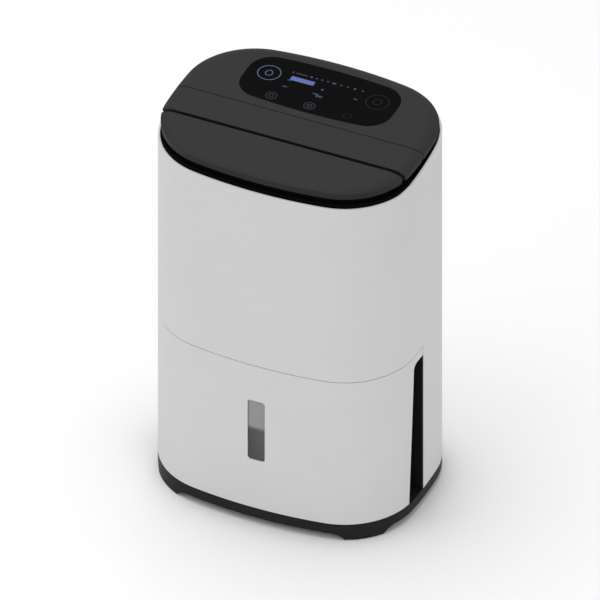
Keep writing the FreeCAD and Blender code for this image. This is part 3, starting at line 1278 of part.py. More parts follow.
# ----------------------------------------------------------------- electrics
def make_electrics():
    """Main board in its box, the run capacitor and the humidity sensor."""
    outside = box("pcb_box_outside", ("box_left", "box_front", "tray_top"),
                  ("box_right", "box_back", "box_top"))
    room = box("pcb_box_room", ("box_left - 1", "box_front + box_wall", "tray_top + box_wall"),
               ("box_right - box_wall", "box_back - box_wall", "box_top - box_wall"))
    keep("pcb_box", cut("pcb_box_cut", outside, room))
    front, rear = "box_front + box_wall + 0.5", "box_back - box_wall - 0.5"
    board = box("main_board_plate", ("board_left", front, "tray_top + 2.5"),
                ("board_right", rear, "box_top - 3"))
    props = [box(f"board_prop_{place}", ("board_right", "box_front + 20", f"{foot}"),
                 ("box_right - box_wall", "box_front + 26", f"{foot} + 6"))
             for place, foot in enumerate(("tray_top + 20", "box_top - 26"))]
    relay = box("relay_block", ("board_left - 14", "box_front + 10", "tray_top + 20"),
                ("board_left", "box_front + 30", "tray_top + 44"))
    coil = box("transformer_block", ("board_left - 16", "box_front + 8", "box_top - 80"),
               ("board_left", "box_back - 8", "box_top - 46"))
    keep("control_board", fuse("control_board_all", board, relay, coil, *props))
    capacitor = rod("capacitor_can", ("capacitor_x", "capacitor_y", "base_top"), "capacitor_radius",
                    "capacitor_height")
    keep("run_capacitor", round_edges("capacitor_round", capacitor, "3", top_edges("base_top")))
    keep("humidity_sensor", box("sensor_board",
                                ("half_width - sensor_margin_x", "half_depth - sensor_margin_y", "tray_top"),
                                ("half_width - sensor_margin_x + 12", "half_depth - sensor_margin_y + 3",
                                 "tray_top + 26")))


# ---------------------------------------------------------------- rear pieces
def make_filter():
    """Slotted filter cover at the back, with the filter frame and mesh that it carries."""
    half = "filter_half - 0.4"
    low, high = "filter_low + 0.4", "filter_high - 0.4"
    panel = common("filter_panel", oval_shell("filter_panel_wall", low, high, "0.1", "shell_wall"),
                   box("filter_panel_block", (f"-({half})", "cover_split", low),
                       (half, "half_depth + 5", high)))
    pitch = amount("grille_bar + grille_slot")
    count = int((amount("filter_high - filter_low") - 24) / pitch)
    slots = []
    for place in range(count):
        level = f"filter_low + 12 + {place} * (grille_bar + grille_slot)"
        for column, (start, end) in enumerate((("-filter_half + 12", "-4"), ("4", "filter_half - 12"))):
            slots.append(box(f"cover_slot_{place}_{column}", (start, "cover_split", level),
                             (end, "half_depth + 5", f"{level} + grille_slot")))
    keep("filter_cover", cut("filter_cover_cut", panel, *slots))
    edge = "filter_half - 2"
    frame = common("filter_frame_part",
                   oval_shell("filter_frame_wall_blank", "filter_low + 2", "filter_high - 2",
                              "shell_wall + 0.1", "filter_frame_depth"),
                   box("filter_frame_block", (f"-({edge})", "cover_split", "filter_low + 2"),
                       (edge, "half_depth + 5", "filter_high - 2")))
    inner = "filter_half - 2 - filter_frame_wall"
    windows = [box(f"filter_window_{column}", (start, "cover_split", "filter_low + 2 + filter_frame_wall"),
                   (end, "half_depth + 5", "filter_high - 2 - filter_frame_wall"))
               for column, (start, end) in enumerate(((f"-({inner})", "-3"), ("3", inner)))]
    keep("filter_frame", cut("filter_frame_cut", frame, *windows))
    meshes = []
    for column, (start, end) in enumerate(((f"-({inner}) + 0.02", "-3.02"), ("3.02", f"{inner} - 0.02"))):
        meshes.append(common(f"filter_mesh_{column}",
                             oval_shell(f"filter_mesh_wall_{column}", "filter_low + 2.02 + filter_frame_wall",
                                        "filter_high - 2.02 - filter_frame_wall", "shell_wall + 2", "0.8"),
                             box(f"filter_mesh_block_{column}", (start, "cover_split", "filter_low"),
                                 (end, "half_depth + 5", "filter_high"))))
    keep("filter_mesh", group("filter_mesh_pair", *meshes))


def make_ports():
    """Drain spigot in its cup with a rubber plug and its hose, and the gland of the supply cord."""
    far = "half_depth + 5"
    rear_edge = oval("port_trim", "0", "total_height", "0.3")
    cup = rod("cup_outside", ("drain_x", "drain_cup_floor", "drain_z"), "drain_cup_radius",
              f"{far} - drain_cup_floor", "y")
    hollow = rod("cup_hollow", ("drain_x", "drain_cup_floor + 2", "drain_z"), "drain_cup_radius - 2",
                 f"{far} - drain_cup_floor", "y")
    flange = rod("cup_flange", ("drain_x", "drain_cup_floor", "drain_z"), "drain_cup_radius + 2.5", "2", "y")
    spigot = rod("spigot_tube", ("drain_x", "drain_cup_floor - 12", "drain_z"), "spigot_radius",
                 "spigot_length + 14", "y")
    bore = rod("spigot_bore_hole", ("drain_x", "drain_cup_floor - 20", "drain_z"), "spigot_bore", "80", "y")
    trimmed = common("cup_trim", cut("cup_shell", fuse("cup_blank", cup, flange), hollow), rear_edge)
    keep("drain_port", cut("drain_port_cut", fuse("drain_port_all", trimmed, spigot), bore))
    end = "drain_cup_floor + 2 + spigot_length"
    stem = rod("plug_stem", ("drain_x", f"{end} - 8", "drain_z"), "spigot_bore - 0.05", "9", "y")
    head = rod("plug_head", ("drain_x", f"{end} + 0.1", "drain_z"), "spigot_radius - 0.5", "3", "y")
    keep("drain_plug", fuse("drain_plug_all", stem, head))
    tube("drain_hose", [("drain_x", "66", "tray_low - 1"), ("drain_x", "66", "drain_z"),
                        ("drain_x", "drain_cup_floor - 2", "drain_z")], "spigot_radius + 2.2", "14",
         "spigot_radius + fit_gap")
    start = "half_depth - gland_length - 4"
    outside = rod("gland_outside", ("gland_x", start, "gland_z"), "gland_radius", "60", "y")
    barrel = common("gland_barrel", outside, oval("gland_trim", "0", "total_height", "0.2"))
    collar = rod("gland_collar", ("gland_x", f"{start} + 8", "gland_z"), "gland_radius + 3", "2.4", "y")
    through = rod("gland_hole_through", ("gland_x", f"{start} - 5", "gland_z"), "gland_bore", "60", "y")
    keep("cord_gland", cut("gland_cut", fuse("gland_all", barrel, collar), through))


def check_and_export():
    """Stop on any failed object or bad shape, then write one STEP file for each piece."""
    DOC.recompute()
    faults = [thing.Label for thing in DOC.Objects if "Invalid" in thing.State or "Error" in thing.State]
    for label, thing in NODES.items():
        shape = thing.Shape
        if shape.isNull() or not shape.isValid() or not shape.Solids or shape.Volume <= 0:
            faults.append(f"{label}: bad shape")
    if faults:
        raise RuntimeError("failed objects: " + ", ".join(faults))
    os.makedirs("parts", exist_ok=True)
    for label, thing in NODES.items():
        thing.Shape.exportStep(f"parts/{label}.step")
        print(f"{label}: {len(thing.Shape.Solids)} solids, {thing.Shape.Volume / 1000:.2f} cm3")
    print(len(NODES), "nodes")


make_base()
make_screws()
make_shells()
make_tank()
make_frame()
make_deck()
make_lid()
make_panel()
make_fan()
make_circuit()
make_electrics()
make_filter()
make_ports()
check_and_export()
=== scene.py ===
"""Dressed scene of a compressor dehumidifier with a lift-out tank.

Sizes are millimetres in the part's own frame: +Z up, the front at -Y, +X to the
right as seen from the front. They become metres when a mesh is made.
"""

import json
import logging
import math
from dataclasses import dataclass
from enum import Enum
from functools import cache
from typing import Any, Optional, Sequence, Union

import bmesh
import bpy
import numpy as np
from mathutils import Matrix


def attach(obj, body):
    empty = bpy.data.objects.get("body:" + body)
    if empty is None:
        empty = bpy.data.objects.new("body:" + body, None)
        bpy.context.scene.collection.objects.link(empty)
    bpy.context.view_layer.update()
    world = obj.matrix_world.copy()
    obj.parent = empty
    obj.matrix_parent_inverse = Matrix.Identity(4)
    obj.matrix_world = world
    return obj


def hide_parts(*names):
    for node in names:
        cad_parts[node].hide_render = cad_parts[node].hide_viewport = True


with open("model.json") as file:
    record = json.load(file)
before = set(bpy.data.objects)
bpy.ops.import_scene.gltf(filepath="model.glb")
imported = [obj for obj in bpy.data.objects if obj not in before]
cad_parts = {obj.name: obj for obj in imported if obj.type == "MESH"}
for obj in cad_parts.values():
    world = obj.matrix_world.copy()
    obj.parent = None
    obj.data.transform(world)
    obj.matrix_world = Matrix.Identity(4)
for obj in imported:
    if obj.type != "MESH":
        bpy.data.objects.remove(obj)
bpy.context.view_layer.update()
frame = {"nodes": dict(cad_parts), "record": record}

LOG = logging.getLogger("dehumidifier")
MM = 0.001
FULL_TURN = 2.0 * math.pi
SHARP_ANGLE = math.radians(35.0)
FLAT_ANGLE = math.radians(0.4)
WELD_DISTANCE = 1e-6
BEVEL_SEGMENTS = 3
Array = np.ndarray
Mesh = bpy.types.Mesh
Colour = tuple[float, float, float]
Number = Union[float, "Wire"]


class Body(Enum):
    """The bodies that the scene's own pieces ride on, by the names the frame gives them."""

    HOUSING = "housing"
    TANK = "tank"
    FLAP = "flap"
    HANDLE = "handle"
    FILTER = "filter"


# --------------------------------------------------------------------------
# Shader maths
# --------------------------------------------------------------------------
class Wire:
    """A value inside a node tree. Its operators add Math nodes to the tree."""

    def __init__(self, surface: "Surface", socket: Any) -> None:
        """Keep the surface that the value belongs to and its socket."""
        self.surface = surface
        self.socket = socket

    def maths(self, operation: str, *values: Number) -> "Wire":
        """Add one Math node.

        Args:
            operation: the node's operation, such as "MULTIPLY".
            values: numbers or wires for its inputs, in order.

        Returns:
            The node's result.
        """
        inputs = dict(enumerate(values))
        node = self.surface.node("ShaderNodeMath", {"operation": operation}, inputs)
        return Wire(self.surface, node.outputs[0])

    def __add__(self, other: Number) -> "Wire":
        """Sum."""
        return self.maths("ADD", self, other)

    __radd__ = __add__

    def __sub__(self, other: Number) -> "Wire":
        """Difference."""
        return self.maths("SUBTRACT", self, other)

    def __rsub__(self, other: Number) -> "Wire":
        """Difference with the sides exchanged."""
        return self.maths("SUBTRACT", other, self)

    def __mul__(self, other: Number) -> "Wire":
        """Product."""
        return self.maths("MULTIPLY", self, other)

    def larger(self, other: Number) -> "Wire":
        """The larger of two values."""
        return self.maths("MAXIMUM", self, other)

    def ramp(self, low: float, high: float) -> "Wire":
        """Rise smoothly between two values.

        Args:
            low: the value up to which the result is nought.
            high: the value from which it is one.

        Returns:
            The result.
        """
        settings = {"interpolation_type": "SMOOTHSTEP"}
        inputs = {0: self, 1: low, 2: high, 3: 0.0, 4: 1.0}
        node = self.surface.node("ShaderNodeMapRange", settings, inputs)
        return Wire(self.surface, node.outputs[0])

    def wave(self) -> "Wire":
        """Sine of the value."""
        return self.maths("SINE", self)


class Surface:
    """One material's node tree around a Principled shader."""

    def __init__(self, name: str, **constants: Any) -> None:
        """Make the material.

        Args:
            name: the material's name.
            constants: values for the shader's sockets, with underscores for spaces.
        """
        self.material = bpy.data.materials.new(name)
        self.material.use_nodes = True
        self.tree = self.material.node_tree
        self.tree.nodes.clear()
        self.shader = self.node("ShaderNodeBsdfPrincipled", {}, {})
        output = self.node("ShaderNodeOutputMaterial", {}, {})
        self.tree.links.new(self.shader.outputs[0], output.inputs[0])
        for socket, value in constants.items():
            self.feed(socket.replace("_", " "), value)

    def node(self, kind: str, settings: dict[str, Any], inputs: dict[Any, Any]) -> Any:
        """Add a node.

        Args:
            kind: the node's type.
            settings: its properties, set before its sockets.
            inputs: values, wires or sockets, by socket name or place.

        Returns:
            The node.
        """
        made = self.tree.nodes.new(kind)
        for name, value in settings.items():
            setattr(made, name, value)
        for place, value in inputs.items():
            socket = made.inputs[place]
            value = value.socket if isinstance(value, Wire) else value
            if isinstance(value, bpy.types.NodeSocket):
                self.tree.links.new(value, socket)
            else:
                socket.default_value = value
        return made

    def feed(self, socket: str, value: Any) -> None:
        """Set or link one of the shader's sockets.

        Args:
            socket: its name.
            value: a wire, a socket or a constant; a colour of three numbers gets its alpha.
        """
        target = self.shader.inputs[socket]
        value = value.socket if isinstance(value, Wire) else value
        if isinstance(value, bpy.types.NodeSocket):
            self.tree.links.new(value, target)
        else:
            is_colour = isinstance(value, tuple) and len(value) == 3
            target.default_value = (*value, 1.0) if is_colour else value

    def place(self, axis: int) -> Wire:
        """One object coordinate in metres, as 0, 1 or 2."""
        split = self.node("ShaderNodeSeparateXYZ", {}, {0: self.spot()})
        return Wire(self, split.outputs[axis])

    def spot(self) -> Any:
        """The object coordinates' socket."""
        return self.node("ShaderNodeTexCoord", {}, {}).outputs["Object"]

    def noise(self, per_metre: float, detail: float, rough: float = 0.5) -> Wire:
        """Cloudy variation about one half, with a number of cells per metre."""
        inputs = {"Vector": self.spot(), "Scale": per_metre, "Detail": detail, "Roughness": rough}
        return Wire(self, self.node("ShaderNodeTexNoise", {}, inputs).outputs[0])

    def blend(self, factor: Number, first: Any, second: Any) -> Any:
        """Mix two colours.

        Args:
            factor: nought for the first, one for the second.
            first: a colour or a socket.
            second: a colour or a socket.

        Returns:
            The socket of the mixture.
        """
        ends = [(*end, 1.0) if isinstance(end, tuple) else end for end in (first, second)]
        inputs = {0: factor, 6: ends[0], 7: ends[1]}
        return self.node("ShaderNodeMix", {"data_type": "RGBA"}, inputs).outputs[2]

    def mottle(self, factor: Wire, colour: Colour, low: float, high: float) -> None:
        """Feed the shader's colour with a colour between two shades of it, by a factor."""
        self.feed("Base Color", self.blend(factor, shade(colour, low), shade(colour, high)))

    def sheen(self, middle: float, *drifts: tuple[Wire, float]) -> None:
        """Feed the shader's roughness: middle + the sum of (drift - 1 / 2) * amount."""
        self.feed("Roughness", sum(((drift - 0.5) * amount for drift, amount in drifts), middle))

    def relief(self, height: Wire, depth_mm: float, strength: float) -> None:
        """Feed the shader's Normal from a height of a given depth."""
        inputs = {"Height": height, "Distance": depth_mm * MM, "Strength": strength}
        self.feed("Normal", self.node("ShaderNodeBump", {}, inputs).outputs[0])


def shade(colour: Colour, factor: float) -> Colour:
    """A colour made lighter or darker."""
    return tuple(min(1.0, channel * factor) for channel in colour)


# --------------------------------------------------------------------------
# Finishes
# --------------------------------------------------------------------------
@dataclass(frozen=True)
class Moulding:
    """Injection-moulded plastic: spark-eroded grain, faint flow clouds, slightly uneven sheen."""

    name: str
    colour: Colour
    roughness: float = 0.5
    grain_per_metre: float = 1500.0
    grain_mm: float = 0.02
    cloud: float = 0.03
    specular: float = 0.4
    clouds_per_metre: float = 14.0

    def make(self) -> bpy.types.Material:
        """Build the material."""
        surface = Surface(self.name, Specular_IOR_Level=self.specular)
        clouds = surface.noise(self.clouds_per_metre, 3.0)
        grain = surface.noise(self.grain_per_metre, 3.0, 0.6)
        surface.mottle(clouds.ramp(0.3, 0.7), self.colour, 1.0 - self.cloud, 1.0 + self.cloud)
        surface.sheen(self.roughness, (clouds, 0.08), (grain, 0.1))
        surface.relief(grain, self.grain_mm, 0.35)
        return surface.material


@dataclass(frozen=True)
class Metal:
    """Bare metal with fine drawing lines along an axis and slight tarnish."""

    name: str
    colour: Colour
    roughness: float = 0.32
    along: int = 2
    lines_per_metre: float = 1800.0
    line_stretch: float = 60.0
    tarnish_per_metre: float = 45.0
    tarnished: float = 0.72

    def make(self) -> bpy.types.Material:
        """Build the material."""
        surface = Surface(self.name, Metallic=1.0)
        scale = [self.lines_per_metre] * 3
        scale[self.along] = self.lines_per_metre / self.line_stretch
        inputs = {0: surface.spot(), "Scale": tuple(scale)}
        stretched = surface.node("ShaderNodeMapping", {}, inputs)
        drawn = surface.node("ShaderNodeTexNoise", {}, {0: stretched.outputs[0], "Scale": 1.0})
        lines = Wire(surface, drawn.outputs[0])
        tarnish = surface.noise(self.tarnish_per_metre, 4.0)
        surface.mottle(tarnish.ramp(0.35, 0.75), self.colour, 1.0, self.tarnished)
        surface.sheen(self.roughness, (tarnish, 0.2), (lines, 0.12))
        surface.relief(lines, 0.01, 0.3)
        return surface.material


@dataclass(frozen=True)
class PolishedPanel:
    """Hard glossy sheet: an even dark colour under a clear coat with faint waviness."""

    name: str
    colour: Colour
    roughness: float = 0.12
    coat: float = 0.08
    haze_per_metre: float = 40.0
    haze: float = 0.06

    def make(self) -> bpy.types.Material:
        """Build the material."""
        surface = Surface(self.name, Coat_Weight=self.coat, Coat_Roughness=0.06,
                          Specular_IOR_Level=0.0)
        waves = surface.noise(self.haze_per_metre, 2.0)
        surface.mottle(waves.ramp(0.3, 0.7), self.colour, 1.0 - self.haze, 1.0 + self.haze)
        surface.sheen(self.roughness, (waves, 0.04))
        surface.relief(waves, 0.02, 0.05)
        return surface.material


@dataclass(frozen=True)
class SmokedWindow:
    """Smoked clear plastic before the tank: pale over air, dark over water, painted shade at its
    edges.

    Heights and widths are millimetres. The water's surface is blurred across its level.
    """

    name: str
    dry: Colour
    wet: Colour
    level: float
    low: float = 90.0
    half_width: float = 10.7
    # Width of the painted shade along each side edge, in millimetres.
    edge: float = 1.5
    blur_below: float = 5.0
    blur_above: float = 2.5
    haze_per_metre: float = 90.0

    def make(self) -> bpy.types.Material:
        """Build the material."""
        surface = Surface(self.name, Coat_Weight=0.3, Coat_Roughness=0.08, Specular_IOR_Level=0.3)
        across, height = surface.place(0), surface.place(2)
        half, edge, level = self.half_width * MM, self.edge * MM, self.level * MM
        over_water = height.ramp(level - self.blur_below * MM, level + self.blur_above * MM)
        # Painted light: the water gets lighter towards +X, as if lit from that side.
        side_light = across.ramp(-half, half)
        deep = surface.blend(side_light, shade(self.wet, 0.74), shade(self.wet, 1.1))
        shallow = surface.blend(side_light, shade(self.wet, 0.9), shade(self.wet, 1.5))
        water = surface.blend(height.ramp(self.low * MM, level), deep, shallow)
        # Painted shade on both side edges, stronger on the left, where the recess walls shade the
        # window.
        left_edge_shade = 1.0 - across.ramp(-half + edge * 0.6, -half + edge)
        right_edge_shade = across.ramp(half - edge, half - edge * 0.6)
        water_with_edge_shade = surface.blend(left_edge_shade * 0.9, water, shade(self.wet, 0.4))
        edge_shade = left_edge_shade.larger(right_edge_shade * 0.4)
        clear = surface.blend(edge_shade, self.dry, shade(self.dry, 0.6))
        haze = surface.noise(self.haze_per_metre, 3.0)
        surface.feed("Base Color", surface.blend(over_water, water_with_edge_shade, clear))
        surface.sheen(0.2, (haze, 0.08))
        return surface.material


@dataclass(frozen=True)
class Rubber:
    """Soft black rubber with dusty mottling."""

    name: str
    colour: Colour = (0.02, 0.02, 0.021)
    dust_per_metre: float = 260.0
    dusty: float = 2.2

    def make(self) -> bpy.types.Material:
        """Build the material."""
        surface = Surface(self.name, Specular_IOR_Level=0.3)
        dust = surface.noise(self.dust_per_metre, 5.0, 0.65)
        surface.mottle(dust.ramp(0.45, 0.8), self.colour, 1.0, self.dusty)
        surface.sheen(0.72, (dust, 0.2))
        surface.relief(dust, 0.03, 0.4)
        return surface.material


@dataclass(frozen=True)
class WovenScreen:
    """Fine screen cloth: two crossed sets of threads with dark holes between them."""

    name: str
    colour: Colour
    threads_per_metre: float = 900.0
    fuzz_per_metre: float = 2500.0

    def make(self) -> bpy.types.Material:
        """Build the material."""
        surface = Surface(self.name, Specular_IOR_Level=0.2)
        pitch = self.threads_per_metre * FULL_TURN
        across = (surface.place(0) * pitch).wave()
        upward = (surface.place(2) * pitch).wave()
        thread = across.larger(upward)
        fuzz = surface.noise(self.fuzz_per_metre, 2.0)
        surface.mottle(thread.ramp(-0.2, 0.7), self.colour, 0.15, 1.0)
        surface.sheen(0.75, (fuzz, 0.3))
        surface.relief(thread + fuzz * 0.3, 0.12, 0.7)
        return surface.material


@dataclass(frozen=True)
class CoatedBoard:
    """Printed circuit board: lacquer over faint tracks and pads."""

    name: str
    colour: Colour
    cells_per_metre: float = 160.0

    def make(self) -> bpy.types.Material:
        """Build the material."""
        surface = Surface(self.name, Coat_Weight=0.4, Coat_Roughness=0.15)
        inputs = {"Vector": surface.spot(), "Scale": self.cells_per_metre}
        cells = surface.node("ShaderNodeTexVoronoi", {"distance": "CHEBYCHEV"}, inputs)
        tracks = Wire(surface, cells.outputs[0]).ramp(0.28, 0.36)
        surface.mottle(tracks, self.colour, 1.0, 1.7)
        surface.feed("Roughness", 0.4 - tracks * 0.12)
        surface.relief(tracks, 0.04, 0.5)
        return surface.material


@dataclass(frozen=True)
class LitMark:
    """A mark lit from behind the glass, a little uneven, and nearly black where it isn't lit."""

    name: str
    colour: Colour
    strength: float
    glow_per_metre: float = 500.0

    def make(self) -> bpy.types.Material:
        """Build the material."""
        surface = Surface(self.name, Emission_Strength=self.strength, Roughness=0.3,
                          Specular_IOR_Level=0.1)
        patches = surface.noise(self.glow_per_metre, 2.0).ramp(0.3, 0.7)
        surface.mottle(patches, self.colour, 0.012, 0.016)
        surface.feed("Emission Color", surface.blend(patches, shade(self.colour, 0.8), self.colour))
        return surface.material


class Finish(Enum):
    """Every finish of the part, by the record's slot it belongs to."""

    WHITE_SHELL = Moulding("white_shell", (0.655, 0.655, 0.655), 0.55, 1300.0, 0.015,
                           cloud=0.008, specular=0.2)
    LID_CHARCOAL = Moulding("lid_charcoal", (0.0215, 0.0217, 0.022), 0.6, 1700.0, 0.025,
                            specular=0.12)
    BASE_CHARCOAL = Moulding("base_charcoal", (0.0125, 0.0126, 0.0129), 0.5, 1700.0, 0.025,
                             cloud=0.04, specular=0.12)
    DECK_BLACK = Moulding("deck_black", (0.0025, 0.0025, 0.0026), 0.75, 1500.0, 0.03,
                          cloud=0.05, specular=0.02)
    PANEL_BLACK = PolishedPanel("panel_black", (0.0026, 0.0026, 0.0028))
    WINDOW_SMOKE = SmokedWindow("window_smoke", (0.272, 0.272, 0.276), (0.052, 0.052, 0.054),
                                level=137.0)
    TANK_SMOKE = Moulding("tank_smoke", (0.006, 0.0062, 0.0065), 0.35, 900.0, 0.01,
                          cloud=0.05, specular=0.2)
    INNER_GREY = Moulding("inner_grey", (0.34, 0.35, 0.36), 0.55)
    INNER_BLACK = Moulding("inner_black", (0.0085, 0.0085, 0.0087), 0.6, 1500.0, 0.02,
                           cloud=0.04, specular=0.12)
    FLOAT_WHITE = Moulding("float_white", (0.74, 0.74, 0.71), 0.5)
    RUBBER_BLACK = Rubber("rubber_black")
    STEEL = Metal("steel", (0.58, 0.58, 0.57))
    COMPRESSOR_BLACK = Moulding("compressor_black", (0.018, 0.018, 0.019), 0.35, 600.0, 0.03,
                                cloud=0.06, specular=0.5)
    FIN_ALUMINIUM = Metal("fin_aluminium", (0.78, 0.79, 0.80), 0.38)
    COPPER_TUBE = Metal("copper_tube", (0.80, 0.42, 0.27), 0.3, along=0)
    BOARD_GREEN = CoatedBoard("board_green", (0.018, 0.10, 0.045))
    MESH_GREY = WovenScreen("mesh_grey", (0.11, 0.11, 0.12))
    KEY_BRIGHT = LitMark("key_bright", (0.30, 0.39, 0.70), 0.33)
    KEY_SOFT = LitMark("key_soft", (0.26, 0.29, 0.56), 0.20)
    KEY_FAINT = LitMark("key_faint", (0.22, 0.22, 0.30), 0.016)
    DISPLAY_BAR = LitMark("display_bar", (0.17, 0.22, 0.56), 0.80)


@cache
def material(finish: Finish) -> bpy.types.Material:
    """The material of a finish, made when it is first asked for."""
    return finish.value.make()


def finish_of(node: str) -> Finish:
    """The finish of the record's slot that a CAD node names."""
    slots = {part["node"]: part["material_slot"] for part in frame["record"]["subparts"]}
    return next(choice for choice in Finish if choice.value.name == slots[node])


def dress_nodes() -> None:
    """Give every CAD node the material of the record's slot it names."""
    for name, node in frame["nodes"].items():
        finish = finish_of(name)
        for holder in node.material_slots:
            holder.material = material(finish)
        if not node.material_slots:
            node.data.materials.append(material(finish))
        LOG.info("node %s: %s", name, finish.value.name)


# --------------------------------------------------------------------------
# Surfaces
# --------------------------------------------------------------------------
@dataclass(frozen=True)
class Plan:
    """A closed outline of eight tangent arcs, alike on both sides of X and of Y through its middle.

    A point is named by its turn, the angle of the outline's outward normal from +X. On an arc of
    radius R about C, the point drawn in by d is C + (R - d) * (cos turn, sin turn). The tables
    are numbers of points that lengths, turns and bearings are read from.
    """

    half_x: float
    half_y: float
    face: float
    side: float
    corner: float
    middle_y: float = 0.0
    run_table: int = 1500
    turn_table: int = 6001
    bearing_table: int = 8001

    def corner_middle(self) -> tuple[float, float]:
        """Centre of the corner arc that touches both the face arc and the side arc from inside."""
        face_y, side_x = self.half_y - self.face, self.half_x - self.side
        span = math.hypot(side_x, face_y)
        reach_face, reach_side = self.face - self.corner, self.side - self.corner
        along = (reach_face ** 2 - reach_side ** 2 + span ** 2) / (2.0 * span)
        off = math.sqrt(reach_face ** 2 - along ** 2)
        step_x, step_y = side_x / span, -face_y / span
        return along * step_x + off * step_y, face_y + along * step_y - off * step_x

    def turns(self) -> tuple[float, float]:
        """Turns in the first quarter at which the side arc ends and the face arc begins."""
        corner_x, corner_y = self.corner_middle()
        side_end = math.atan2(corner_y, corner_x - self.half_x + self.side)
        face_start = math.atan2(corner_y - self.half_y + self.face, corner_x)
        return side_end, face_start

    def points(self, turn: Array, drawn_in: float) -> Array:
        """Points of the outline.

        Args:
            turn: turns in radians.
            drawn_in: distance inwards from the outline in millimetres.

        Returns:
            An array of (x, y) for each turn.
        """
        cosine, sine = np.cos(turn), np.sin(turn)
        folded = np.arctan2(np.abs(sine), np.abs(cosine))
        side_end, face_start = self.turns()
        corner_x, corner_y = self.corner_middle()
        zone = [folded < side_end, folded > face_start]
        middle_x = np.select(zone, [self.half_x - self.side, 0.0], corner_x)
        middle_y = np.select(zone, [0.0, self.half_y - self.face], corner_y)
        radius = np.select(zone, [self.side, self.face], self.corner) - drawn_in
        x = np.sign(cosine) * (middle_x + radius * np.abs(cosine))
        y = np.sign(sine) * (middle_y + radius * np.abs(sine)) + self.middle_y
        return np.stack([x, y], axis=-1)

    def run(self, start: float, end: float, count: int, drawn_in: float) -> Array:
        """Points spaced evenly by length, ends included.

        Args:
            start: first turn.
            end: last turn.
            count: number of points.
            drawn_in: distance inwards from the outline.

        Returns:
            An array of (x, y).
        """
        turn = np.linspace(start, end, self.run_table)
        steps = np.linalg.norm(np.diff(self.points(turn, drawn_in), axis=0), axis=1)
        length = np.concatenate([[0.0], np.cumsum(steps)])
        wanted = np.linspace(0.0, length[-1], count)
        return self.points(np.interp(wanted, length, turn), drawn_in)

    def right_turn(self, y: float, drawn_in: float) -> float:
        """Turn of the right-hand point at a given y, read from a fine table of the outline."""
        turn = np.linspace(-math.pi / 2, math.pi / 2, self.turn_table)
        return float(np.interp(y, self.points(turn, drawn_in)[:, 1], turn))

    def depth(self, spots: Array) -> Array:
        """Distance inwards from the outline: R - |p - C| for the arc that a spot faces.

        Args:
            spots: an array of (x, y).

        Returns:
            The distance of each.
        """
        x, y = np.abs(spots[..., 0]), np.abs(spots[..., 1] - self.middle_y)
        corner_x, corner_y = self.corner_middle()
        side_end, face_start = self.turns()
        bearing = np.arctan2(y - corner_y, x - corner_x)
        by_corner = self.corner - np.hypot(x - corner_x, y - corner_y)
        by_face = self.face - np.hypot(x, y - self.half_y + self.face)
        by_side = self.side - np.hypot(x - self.half_x + self.side, y)
        at_corner = (bearing > side_end) & (bearing < face_start)
        return np.where(at_corner, by_corner, np.minimum(by_face, by_side))

    def at_bearings(self, bearing: Array, drawn_in: float) -> Array:
        """Points of the outline in given directions from its middle, read from a fine table.

        Args:
            bearing: angles from +X at the middle.
            drawn_in: distance inwards from the outline.

        Returns:
            An array of (x, y) for each bearing.
        """
        table = self.points(np.linspace(-math.pi, math.pi, self.bearing_table), drawn_in)
        across, along = table[:, 0], table[:, 1] - self.middle_y
        seen = np.arctan2(along, across)
        reach = np.interp(bearing, seen, np.hypot(across, along), period=FULL_TURN)
        x, y = reach * np.cos(bearing), reach * np.sin(bearing) + self.middle_y
        return np.stack([x, y], axis=-1)


def lifted(flat: Array, height: Union[float, Array]) -> Array:
    """Points of a plan with a height for each, or one for all."""
    return np.concatenate([flat, np.broadcast_to(height, flat.shape[:-1])[..., None]], axis=-1)


def circle(count: int) -> Array:
    """Angles spaced evenly round a full turn, the end left out."""
    return np.linspace(0.0, FULL_TURN, count, endpoint=False)


def loft(name: str, rows: Array, joined: bool = False) -> Mesh:
    """Skin a stack of closed rows: face (k, i) joins points i and i + 1 of rows k and k + 1.

    Args:
        name: the mesh's name.
        rows: points in millimetres, by row, place round the row and axis. Seen from above the
            rows run anticlockwise, and they climb the outside of the piece.
        joined: the last row meets the first; otherwise a face closes each end.

    Returns:
        The mesh, in metres.
    """
    levels, around, _ = rows.shape
    grid = np.arange(levels * around).reshape(levels, around)
    lower = grid if joined else grid[:-1]
    upper = np.roll(grid, -1, axis=0) if joined else grid[1:]
    next_lower, next_upper = np.roll(lower, -1, axis=1), np.roll(upper, -1, axis=1)
    faces = np.stack([lower, next_lower, next_upper, upper], axis=-1).reshape(-1, 4).tolist()
    if not joined:
        faces += [grid[0][::-1].tolist(), grid[-1].tolist()]
    mesh = bpy.data.meshes.new(name)
    mesh.from_pydata((rows.reshape(-1, 3) * MM).tolist(), [], faces)
    mesh.validate()
    return mesh


def merged(name: str, meshes: Sequence[Mesh]) -> Mesh:
    """One mesh that holds the faces of several.

    Args:
        name: the mesh's name.
        meshes: the meshes to bring together.

    Returns:
        The mesh.
    """
    work = bmesh.new()
    for mesh in meshes:
        work.from_mesh(mesh)
    whole = bpy.data.meshes.new(name)
    work.to_mesh(whole)
    work.free()
    return whole


def turned_post(name: str, middle: tuple[float, float], outline: Sequence[tuple[float, float]],
                around: int = 40) -> Mesh:
    """An upright turned piece: points (r cos a, r sin a, z) for each (r, z) of an outline.

    Args:
        name: the mesh's name.
        middle: (x, y) of the axis.
        outline: radius and height, from the foot up.
        around: points round the axis.

    Returns:
        The mesh.
    """
    radius, height = np.array(outline).T
    angle = circle(around)
    flat = np.stack([np.outer(radius, np.cos(angle)), np.outer(radius, np.sin(angle))], axis=-1)
    return loft(name, lifted(flat + np.array(middle), height[:, None]))


